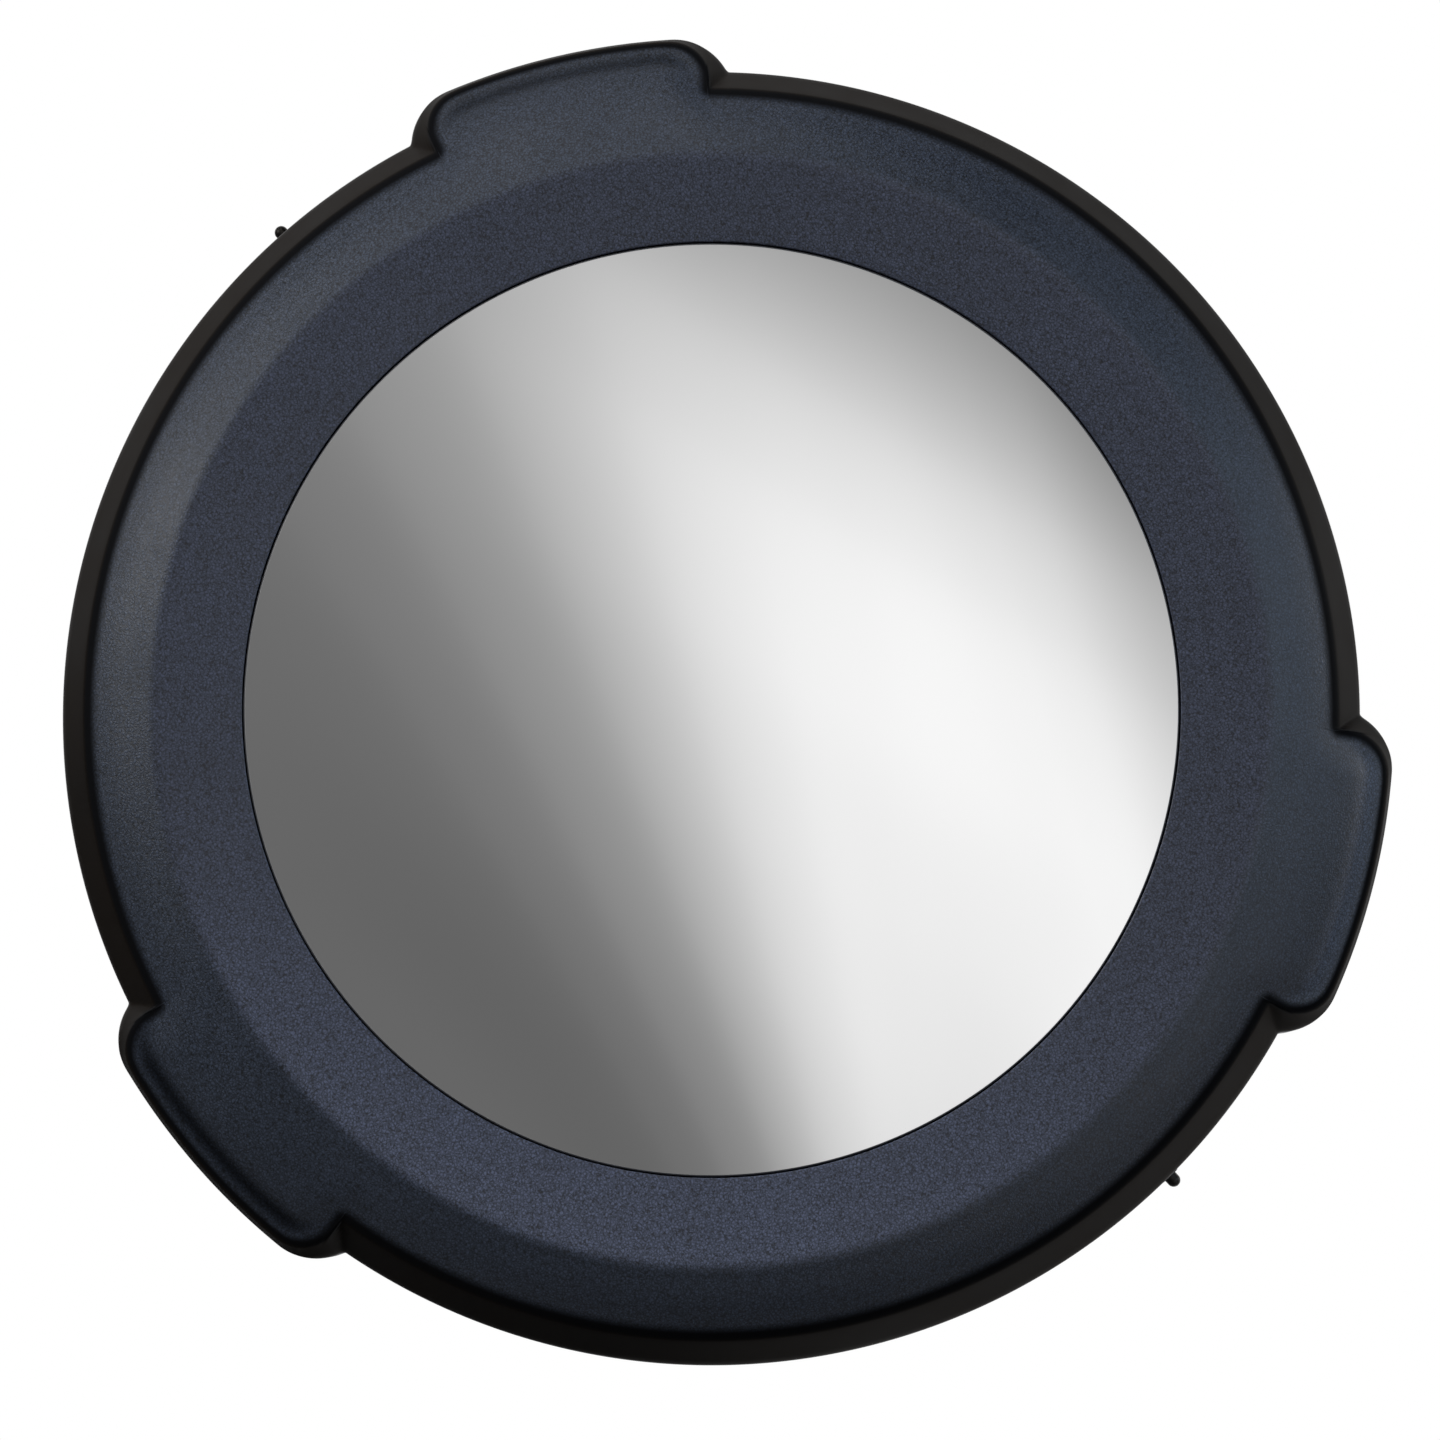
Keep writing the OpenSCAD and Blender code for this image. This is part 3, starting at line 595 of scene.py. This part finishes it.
def build_weld(material):
    """Rippled weld bead between the support arm and the wall plate."""
    plate_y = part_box("wall_plate")[0].y
    bearing = turn_round(WELD_STEP)
    section = [weld_row(t, bearing) for t in np.linspace(0.0, 1.0, WELD_ROWS)]
    section.append((ARM_R - WELD_IN_ARM, WELD_LEG))
    section.append((ARM_R - WELD_IN_ARM, -WELD_IN_PLATE))
    section.append((ARM_R + WELD_LEG, -WELD_IN_PLATE))
    rows = []
    for out, rise in section:
        x = out * np.cos(bearing) * MM
        y = plate_y - rise * MM + 0.0 * bearing
        z = out * np.sin(bearing) * MM
        rows.append(np.stack([x, y, z], axis=-1))
    faces = grid_faces(len(rows), len(bearing), True)
    piece = mesh_object("arm_weld", np.array(rows).reshape(-1, 3), [f[::-1] for f in faces])
    place_piece(piece, material, "wall_bracket", "black_steel")


def rounded(name, node, material, body, slot, width):
    """Copy of a CAD node with its hard edges rounded to a width in millimetres, which replaces it."""
    made = bmesh.new()
    made.from_mesh(NODES[node].data)
    bmesh.ops.remove_doubles(made, verts=made.verts, dist=MERGE_WITHIN)
    bmesh.ops.dissolve_limit(made, angle_limit=FLAT_ANGLE, verts=made.verts, edges=made.edges)
    hard = [e for e in made.edges if e.is_manifold and e.calc_face_angle() > HARD_ANGLE]
    bmesh.ops.bevel(
        made, geom=hard, offset=width * MM, segments=2, profile=0.5, affect="EDGES", clamp_overlap=True
    )
    for face in made.faces:
        face.smooth = True
    mesh = bpy.data.meshes.new(name)
    made.to_mesh(mesh)
    made.free()
    piece = bpy.data.objects.new(name, mesh)
    piece.modifiers.new("even_shade", "WEIGHTED_NORMAL")
    place_piece(piece, material, body, slot, node)


class ShaderTree:
    """Short calls that build a tree of shader nodes."""

    def __init__(self, tree):
        self.tree = tree

    def node(self, kind, **settings):
        """New node with its settings."""
        made = self.tree.nodes.new(kind)
        for key, value in settings.items():
            setattr(made, key, value)
        return made

    def link(self, source, target):
        """Joins an output to an input."""
        self.tree.links.new(source, target)

    def feed(self, socket, value):
        """Sets a socket to a number or a colour, or links it."""
        if isinstance(value, bpy.types.NodeSocket):
            self.link(value, socket)
        elif isinstance(value, tuple):
            socket.default_value = (*value, 1.0)
        else:
            socket.default_value = value

    def combine(self, operation, a, b):
        """Two values put together, each a socket or a number."""
        made = self.node("ShaderNodeMath", operation=operation)
        self.feed(made.inputs[0], a)
        self.feed(made.inputs[1], b)
        return made.outputs["Value"]

    def dot(self, source, direction):
        """How far a vector points along a direction."""
        made = self.node("ShaderNodeVectorMath", operation="DOT_PRODUCT")
        self.link(source, made.inputs[0])
        made.inputs[1].default_value = direction
        return made.outputs["Value"]

    def spread(self, source, low, high, to_low=0.0, to_high=1.0, kind="LINEAR"):
        """A value moved from one range to another, and held at its ends."""
        made = self.node("ShaderNodeMapRange", interpolation_type=kind)
        self.link(source, made.inputs["Value"])
        made.inputs["From Min"].default_value = low
        made.inputs["From Max"].default_value = high
        made.inputs["To Min"].default_value = to_low
        made.inputs["To Max"].default_value = to_high
        return made.outputs["Result"]

    def soft_step(self, source, low, high):
        """Share that rises softly from 0 to 1 between two values."""
        return self.spread(source, low, high, kind="SMOOTHSTEP")

    def tint(self, factor, low, high):
        """Colour between two tones, each a socket or a colour."""
        made = self.node("ShaderNodeMix", data_type="RGBA")
        # The node has an A, a B and a Result for each type of data, so those of its colours go by number
        self.feed(made.inputs[0], factor)
        self.feed(made.inputs[6], low)
        self.feed(made.inputs[7], high)
        return made.outputs[2]

    def ramp(self, source, stops):
        """Grey ramp with the given stops."""
        made = self.node("ShaderNodeValToRGB")
        self.link(source, made.inputs["Fac"])
        made.color_ramp.interpolation = "CARDINAL"
        elements = made.color_ramp.elements
        while len(elements) < len(stops):
            elements.new(0.5)
        for element, (at, level) in zip(elements, stops):
            element.position = at
            element.color = (*grey(level), 1.0)
        return made.outputs["Color"]

    def mix_shader(self, factor, a, b):
        """One shader where a factor is 0, and another where it is 1."""
        made = self.node("ShaderNodeMixShader")
        self.link(factor, made.inputs["Fac"])
        self.link(a, made.inputs[1])
        self.link(b, made.inputs[2])
        return made.outputs["Shader"]


class Finish(ShaderTree):
    """One procedural material."""

    def __init__(self, name, color, rough, metal=0.0, specular=0.5):
        self.material = bpy.data.materials.new(name)
        self.material.use_nodes = True
        super().__init__(self.material.node_tree)
        self.shader = self.tree.nodes["Principled BSDF"]
        self.feed(self.shader.inputs["Base Color"], color)
        self.feed(self.shader.inputs["Roughness"], rough)
        self.feed(self.shader.inputs["Metallic"], metal)
        self.feed(self.shader.inputs["Specular IOR Level"], specular)
        self.place = self.node("ShaderNodeTexCoord").outputs["Object"]

    def noise(self, size, detail, rough=0.55, place=None):
        """Noise whose features are about a size in metres across, from 0 to 1."""
        made = self.node("ShaderNodeTexNoise")
        made.inputs["Scale"].default_value = 1.0 / size
        made.inputs["Detail"].default_value = detail
        made.inputs["Roughness"].default_value = rough
        self.link(place or self.place, made.inputs["Vector"])
        return made.outputs["Fac"]

    def mottle(self, size, detail, low=0.0, high=1.0):
        """Patches about a size in metres across, between two values."""
        return self.spread(self.noise(size, detail), *NOISE_RANGE, low, high)

    def cells(self, size, place):
        """Distance from the edges of cells about a size in metres across."""
        made = self.node("ShaderNodeTexVoronoi", feature="DISTANCE_TO_EDGE")
        made.inputs["Scale"].default_value = 1.0 / size
        self.link(place, made.inputs["Vector"])
        return made.outputs["Distance"]

    def bent_place(self, size, reach):
        """Coordinates pushed about by a noise, so that cells aren't straight."""
        made = self.node("ShaderNodeTexNoise")
        made.inputs["Scale"].default_value = 1.0 / size
        self.link(self.place, made.inputs["Vector"])
        push = self.node("ShaderNodeVectorMath", operation="MULTIPLY_ADD")
        self.link(made.outputs["Color"], push.inputs[0])
        push.inputs[1].default_value = (reach, reach, reach)
        self.link(self.place, push.inputs[2])
        return push.outputs["Vector"]

    def noted(self, name):
        """Number that the piece keeps for each of its points."""
        return self.node("ShaderNodeAttribute", attribute_name=name).outputs["Fac"]

    def dim(self, color, factor):
        """Colour times a factor."""
        made = self.node("ShaderNodeVectorMath", operation="SCALE")
        self.link(color, made.inputs["Vector"])
        self.link(factor, made.inputs["Scale"])
        return made.outputs["Vector"]

    def worn_edges(self, reach, patch):
        """Share of wear within a reach of the edges, broken up by a noise of a size."""
        turned = self.node("ShaderNodeBevel", samples=4)
        turned.inputs["Radius"].default_value = reach
        match = self.node("ShaderNodeVectorMath", operation="DOT_PRODUCT")
        self.link(turned.outputs["Normal"], match.inputs[0])
        self.link(self.node("ShaderNodeNewGeometry").outputs["Normal"], match.inputs[1])
        edge = self.spread(match.outputs["Value"], *EDGE_TURN)
        return self.combine("MULTIPLY", edge, self.spread(self.noise(patch, detail=5.0), *WEAR_RANGE))

    def color(self, socket):
        """Gives the shader its colour."""
        self.link(socket, self.shader.inputs["Base Color"])

    def rough(self, socket):
        """Gives the shader its roughness."""
        self.link(socket, self.shader.inputs["Roughness"])

    def bump(self, height, depth, strength):
        """Relief of a depth in metres."""
        made = self.node("ShaderNodeBump")
        made.inputs["Strength"].default_value = strength
        made.inputs["Distance"].default_value = depth
        self.link(height, made.inputs["Height"])
        self.link(made.outputs["Normal"], self.shader.inputs["Normal"])


def grey(level):
    """Neutral colour of a level."""
    return (level, level, level)


def shell_plastic():
    """Charcoal plastic: leather grain on face and skirt, black along the edge, plain on the wall."""
    finish = Finish("shell_plastic", RING_TONE, rough=0.42)
    from_edge = finish.noted("from_edge")
    on_face = finish.soft_step(from_edge, *FACE_ZONE)
    on_wall = finish.soft_step(from_edge, *WALL_ZONE)
    on_ring = finish.soft_step(finish.noted("from_ridge"), *RING_ZONE)
    on_skirt = finish.soft_step(finish.noted("height"), *SKIRT_ZONE)
    rub_and_painted_light = finish.noted("rub_and_painted_light")
    # Grain, as relief and as specks of tone
    grained = finish.combine("MAXIMUM", on_face, on_skirt)
    bent = finish.bent_place(BEND_SIZE, BEND_REACH)
    cell = finish.spread(finish.cells(GRAIN_SIZE, bent), *CELL_RANGE)
    fine = finish.noise(GRAIN_FINE, detail=3.0, rough=0.6, place=bent)
    relief = finish.combine("ADD", finish.combine("MULTIPLY", cell, CELL_SHARE), fine)
    finish.bump(finish.combine("MULTIPLY", relief, grained), GRAIN_DEPTH, strength=0.9)
    cloud = finish.mottle(size=0.07, detail=4.0, low=0.92, high=1.08)
    speck = finish.combine("MULTIPLY", finish.spread(relief, *RELIEF_RANGE, *SPECK_RANGE), cloud)
    # Tones of the zones
    # Painted light: the ring turns paler towards one side, up to one and a half times its tone
    to_painted_light = finish.combine("MULTIPLY", on_ring, finish.dot(finish.place, PAINTED_LIGHT_WAY))
    gradient = finish.spread(to_painted_light, *PAINTED_LIGHT_RANGE, to_low=1.0, to_high=PAINTED_LIGHT_MOST)
    face_tone = finish.dim(finish.tint(on_ring, BEVEL_TONE, RING_TONE), gradient)
    # The dents' painted light and shade scale the leather's tone
    leather = finish.dim(face_tone, finish.combine("MULTIPLY", speck, rub_and_painted_light))
    wall = finish.tint(finish.mottle(size=0.03, detail=4.0), *WALL_TONES)
    skirt = finish.dim(finish.tint(on_skirt, wall, SKIRT_TONE), speck)
    side = finish.tint(on_skirt, wall, skirt)
    finish.color(finish.tint(on_wall, finish.tint(on_face, EDGE_TONE, leather), side))
    finish.rough(finish.mottle(size=0.03, detail=4.0, low=0.38, high=0.48))
    # Only the grain has a gloss, scaled by the dents' painted light and shade
    gloss = finish.spread(finish.combine("MULTIPLY", grained, rub_and_painted_light), 0.0, 1.0, *SHELL_GLOSS)
    finish.link(gloss, finish.shader.inputs["Specular IOR Level"])
    return finish.material


def silvered():
    """Silvered acrylic with faint smears, dull and dark where the sheet turns down to its neck."""
    finish = Finish("silvered_acrylic", SILVER, rough=0.03, metal=1.0)
    cut = finish.soft_step(finish.noted("from_rim"), *CUT_ZONE)
    smears = finish.noise(size=0.045, detail=5.0)
    smear = finish.spread(smears, *SMEAR_RANGE, to_low=0.02, to_high=0.06)
    finish.color(finish.tint(cut, SILVER, CUT_TONE))
    finish.link(finish.combine("SUBTRACT", 1.0, cut), finish.shader.inputs["Metallic"])
    finish.rough(finish.combine("ADD", smear, finish.combine("MULTIPLY", cut, CUT_ROUGH)))
    finish.bump(finish.noise(size=0.09, detail=1.0), depth=0.0001, strength=0.3)
    return finish.material


def powder_coat():
    """Black powder coat with a fine orange peel, rubbed through to grey on a few edges."""
    finish = Finish("powder_coat", (0.014, 0.014, 0.015), rough=0.38)
    peel = finish.noise(size=0.0012, detail=2.0)
    cloud = finish.tint(finish.mottle(size=0.02, detail=4.0), *COAT_TONES)
    coat = finish.dim(cloud, finish.spread(peel, *NOISE_RANGE, to_low=0.6, to_high=1.4))
    finish.color(finish.tint(finish.worn_edges(reach=0.0009, patch=0.008), coat, COAT_WORN))
    finish.rough(finish.mottle(size=0.008, detail=3.0, low=0.34, high=0.48))
    finish.bump(peel, depth=0.00008, strength=0.8)
    return finish.material


def cover_plastic():
    """Black moulded plastic with a fine grain, faint rubs and paler edges."""
    finish = Finish("cover_plastic", (0.030, 0.030, 0.033), rough=0.48)
    grain = finish.noise(size=0.0013, detail=2.0)
    cloud = finish.tint(finish.mottle(size=0.03, detail=4.0), *COVER_TONES)
    tone = finish.dim(cloud, finish.spread(grain, *NOISE_RANGE, to_low=0.62, to_high=1.38))
    rubs = finish.noise(size=0.012, detail=8.0, rough=0.7)
    rub_and_painted_light = finish.spread(rubs, *RUB_RANGE, to_high=0.35)
    worn = finish.combine("MAXIMUM", finish.worn_edges(reach=0.0009, patch=0.006), rub_and_painted_light)
    finish.color(finish.tint(worn, tone, COVER_WORN))
    finish.rough(finish.mottle(size=0.01, detail=3.0, low=0.42, high=0.56))
    finish.bump(grain, depth=0.00012, strength=0.8)
    return finish.material


def plain_surface(name, dark, pale, rough, grain, depth):
    """Plain surface between two tones and two roughnesses, with a grain of a size and depth."""
    finish = Finish(name, dark, rough[0])
    relief = finish.noise(grain, detail=2.0)
    cloud = finish.tint(finish.mottle(size=0.02, detail=4.0), dark, pale)
    finish.color(finish.dim(cloud, finish.spread(relief, *NOISE_RANGE, to_low=0.8, to_high=1.2)))
    finish.rough(finish.mottle(0.01, 3.0, *rough))
    finish.bump(relief, depth, strength=0.8)
    return finish.material


def plain_metal(name, dark, pale, rough):
    """Bare metal between two tones and two roughnesses, with fine marks."""
    finish = Finish(name, dark, rough[0], metal=1.0)
    finish.color(finish.tint(finish.mottle(size=0.006, detail=5.0), dark, pale))
    finish.rough(finish.mottle(0.002, 4.0, *rough))
    finish.bump(finish.noise(size=0.0006, detail=2.0), depth=0.00001, strength=0.6)
    return finish.material


def foam():
    """Black foam of the seal."""
    return plain_surface(
        "foam", dark=grey(0.012), pale=grey(0.03), rough=(0.85, 0.95), grain=0.0008, depth=0.0002
    )


def hardboard():
    """Brown hardboard."""
    brown = (0.17, 0.09, 0.045)
    tan = (0.26, 0.15, 0.08)
    return plain_surface("hardboard", brown, tan, rough=(0.6, 0.8), grain=0.0012, depth=0.00008)


def black_nylon():
    """Black nylon of the blocks and bushes."""
    return plain_surface(
        "black_nylon", dark=grey(0.012), pale=grey(0.02), rough=(0.4, 0.5), grain=0.001, depth=0.00003
    )


def natural_nylon():
    """Uncoloured nylon of the washers."""
    cream = (0.45, 0.43, 0.36)
    ivory = (0.55, 0.53, 0.46)
    return plain_surface("natural_nylon", cream, ivory, rough=(0.4, 0.5), grain=0.001, depth=0.00003)


def phenolic():
    """Smooth black phenolic of the knob."""
    black = (0.014, 0.014, 0.015)
    soft_black = (0.020, 0.020, 0.022)
    return plain_surface("phenolic", black, soft_black, rough=(0.22, 0.32), grain=0.002, depth=0.00003)


def bright_zinc():
    """Zinc of the screws, nuts, bolt and washer."""
    return plain_metal("bright_zinc", (0.55, 0.56, 0.58), (0.68, 0.68, 0.69), rough=(0.28, 0.42))


def black_oxide():
    """Blackened steel of the pins."""
    return plain_metal("black_oxide", (0.02, 0.019, 0.018), (0.035, 0.033, 0.03), rough=(0.35, 0.5))


def turned_brass():
    """Brass of the knob's insert."""
    return plain_metal("turned_brass", (0.62, 0.43, 0.16), (0.75, 0.55, 0.24), rough=(0.25, 0.4))


def dress(material, *nodes):
    """Gives CAD nodes a material."""
    for name in nodes:
        mesh = NODES[name].data
        mesh.materials.clear()
        mesh.materials.append(material)


def build_head():
    """Pieces of the head, which tilts."""
    build_shell(shell_plastic())
    build_mirror(silvered())
    rounded("rear_cover", "back_cover", cover_plastic(), "mirror_head", "cover_plastic", width=0.6)
    dress(foam(), "mirror_seal")
    dress(hardboard(), "backing_board")
    dress(black_nylon(), "screw_blocks", "pivot_bush_left", "pivot_bush_right")


def build_bracket():
    """Pieces of the yoke, the wall bracket and the pan lock, and all the fasteners."""
    coat = powder_coat()
    rounded("yoke", "yoke_bar", coat, "yoke", "black_steel", width=0.8)
    rounded("lug", "yoke_lug", coat, "yoke", "black_steel", width=1.0)
    rounded("clevis", "arm_clevis", coat, "wall_bracket", "black_steel", width=1.0)
    rounded("arm_tube", "support_arm", coat, "wall_bracket", "black_steel", width=0.4)
    rounded("plate", "wall_plate", coat, "wall_bracket", "black_steel", width=0.6)
    build_weld(coat)
    rounded("knob", "lock_knob", phenolic(), "pan_lock", "knob_plastic", width=0.4)
    dress(bright_zinc(), "cover_screws", "pin_nuts", "foot_screws", "pan_bolt", "bolt_washer")
    dress(black_oxide(), "pivot_pin_left", "pivot_pin_right")
    dress(turned_brass(), "knob_insert")
    dress(natural_nylon(), "friction_washer_left", "friction_washer_right", "thrust_washers")


def view_axes(ahead):
    """Side and upward directions of a view along a direction, with the picture's way up."""
    side = ahead.cross(UP).normalized()
    return side, side.cross(ahead).normalized()


def add_camera():
    """Camera with the photograph's place, roll and view."""
    data = bpy.data.cameras.new("camera")
    data.sensor_width = SENSOR_W
    data.lens = FOCAL_PX / PICTURE_PX * SENSOR_W
    camera = bpy.data.objects.new("camera", data)
    bpy.context.scene.collection.objects.link(camera)
    place = MIDDLE + CAMERA_AWAY * FRONT - CAMERA_BELOW * UP
    ahead = (MIDDLE - place).normalized()
    side, above = view_axes(ahead)
    # Turn the aim so that the rim's middle lands where the photograph has it
    off_x = (RIM_AT_PX[0] - PICTURE_PX / 2) / FOCAL_PX
    off_y = (PICTURE_PX / 2 - RIM_AT_PX[1]) / FOCAL_PX
    ahead = (ahead - off_x * side - off_y * above).normalized()
    side, above = view_axes(ahead)
    turn = Matrix((side, above, -ahead)).transposed()
    camera.matrix_world = Matrix.Translation(place) @ turn.to_4x4()
    bpy.context.scene.camera = camera


def background(tree, level):
    """White background of a level."""
    made = tree.node("ShaderNodeBackground")
    tree.feed(made.inputs["Color"], WHITE)
    tree.feed(made.inputs["Strength"], level)
    return made.outputs["Background"]


def studio_level(tree):
    """Level of the studio by direction: the fan of light in front, dim sides and white behind."""
    ray = tree.node("ShaderNodeTexCoord").outputs["Generated"]
    fan = tree.combine(
        "DIVIDE",
        tree.combine("SUBTRACT", tree.dot(ray, RIGHT), FAN_RIGHT),
        tree.combine("ADD", tree.dot(ray, UP), FAN_BELOW),
    )
    sweep = tree.ramp(tree.spread(fan, *FAN_RANGE), FAN_STOPS)
    high = tree.ramp(tree.spread(tree.dot(ray, HIGH_WAY), *HIGH_RANGE), HIGH_STOPS)
    far = tree.ramp(tree.spread(tree.dot(ray, FAR_WAY), *FAR_RANGE), FAR_STOPS)
    shade = tree.combine("MULTIPLY", sweep, tree.combine("MULTIPLY", high, far))
    ahead = tree.dot(ray, FRONT)
    front = tree.combine("MULTIPLY", shade, tree.spread(ahead, *AHEAD_RANGE))
    sides = tree.spread(ahead, *AHEAD_RANGE, to_low=SIDE_LEVEL, to_high=0.0)
    behind = tree.spread(ahead, *BEHIND_RANGE)
    return tree.combine("ADD", tree.combine("ADD", front, sides), behind)


def add_world():
    """White behind the object, an even soft light, and a studio that reflections see."""
    world = bpy.data.worlds.new("studio")
    bpy.context.scene.world = world
    world.use_nodes = True
    world.node_tree.nodes.clear()
    tree = ShaderTree(world.node_tree)
    rays = tree.node("ShaderNodeLightPath").outputs
    studio = background(tree, studio_level(tree))
    lit = tree.mix_shader(rays["Is Glossy Ray"], background(tree, AMBIENT), studio)
    seen = tree.combine("MAXIMUM", rays["Is Camera Ray"], rays["Is Transmission Ray"])
    out = tree.node("ShaderNodeOutputWorld")
    tree.link(tree.mix_shader(seen, lit, background(tree, 1.0)), out.inputs["Surface"])


def add_lamp(name, bearing, slant, size, power, away=LAMP_AWAY, color=WHITE, glossy=True):
    """Soft lamp at a bearing of the picture, at a slant from straight ahead of the mirror."""
    data = bpy.data.lights.new(name, "AREA")
    data.shape = "DISK"
    data.size = size
    data.energy = power
    data.color = color
    lamp = bpy.data.objects.new(name, data)
    bpy.context.scene.collection.objects.link(lamp)
    turn = math.radians(bearing)
    lean = math.radians(slant)
    across = RIGHT * math.cos(turn) + UP * math.sin(turn)
    way = across * math.sin(lean) + FRONT * math.cos(lean)
    lamp.location = MIDDLE + way * away
    lamp.rotation_mode = "QUATERNION"
    lamp.rotation_quaternion = way.to_track_quat("Z", "Y")
    lamp.visible_camera = False
    lamp.visible_glossy = glossy


def add_lamps():
    """Soft lamps in front of the mirror, beside it and behind it."""
    add_lamp("left", bearing=156.0, slant=FRONT_SLANT, size=2.6, power=88.0)
    add_lamp("top", bearing=100.0, slant=FRONT_SLANT, size=3.0, power=36.0)
    add_lamp("right", bearing=14.0, slant=FRONT_SLANT, size=3.2, power=52.0, color=COOL)
    add_lamp("low", bearing=322.0, slant=FRONT_SLANT, size=2.2, power=14.0)
    add_lamp("side", bearing=12.0, slant=108.0, size=2.2, power=40.0)
    add_lamp("fill", bearing=123.0, slant=FRONT_SLANT, size=2.4, power=140.0, glossy=False)
    add_lamp("rear", bearing=60.0, slant=168.0, size=0.6, power=30.0, away=1.8)
    add_lamp("rear_left", bearing=112.0, slant=140.0, size=2.4, power=95.0, glossy=False)
    add_lamp("rear_right", bearing=330.0, slant=130.0, size=2.4, power=150.0, glossy=False)


def pale_floor():
    """Pale matt floor that fades to white at its edge, and that sends little light back to the object."""
    finish = Finish("pale_floor", FLOOR_TONE, rough=0.8, specular=0.1)
    flat = finish.node("ShaderNodeVectorMath", operation="MULTIPLY")
    finish.link(finish.place, flat.inputs[0])
    flat.inputs[1].default_value = (1.0, 1.0, 0.0)
    length = finish.node("ShaderNodeVectorMath", operation="LENGTH")
    finish.link(flat.outputs["Vector"], length.inputs[0])
    start, end = FLOOR_FADE
    gradient = finish.spread(length.outputs["Value"], start * FLOOR_R, end * FLOOR_R)
    rays = finish.node("ShaderNodeLightPath").outputs
    bounce = finish.combine("MAXIMUM", rays["Is Diffuse Ray"], rays["Is Glossy Ray"])
    finish.color(finish.tint(bounce, FLOOR_TONE, FLOOR_BOUNCE_TONE))
    glow = finish.node("ShaderNodeEmission").outputs["Emission"]
    share = finish.combine("MULTIPLY", gradient, rays["Is Camera Ray"])
    surface = finish.mix_shader(share, finish.shader.outputs["BSDF"], glow)
    finish.link(surface, finish.tree.nodes["Material Output"].inputs["Surface"])
    return finish.material


def add_floor():
    """Round floor below the object."""
    rings = np.linspace(FLOOR_HUB_R, FLOOR_R, FLOOR_RINGS)[:, None]
    bearing = turn_round(FLOOR_STEP)
    columns = len(bearing)
    x = rings * np.cos(bearing)
    y = rings * np.sin(bearing)
    points = np.stack([x, y, 0.0 * x + FLOOR_Z], axis=-1).reshape(-1, 3)
    faces = grid_faces(FLOOR_RINGS, columns, False)
    faces.append(cap_face(0, columns)[::-1])
    floor = mesh_object("floor", points, [f[::-1] for f in faces])
    bpy.context.scene.collection.objects.link(floor)
    floor.data.materials.append(pale_floor())


build_head()
build_bracket()
add_camera()
add_world()
add_lamps()
add_floor()
bpy.context.scene.view_settings.view_transform = "Standard"
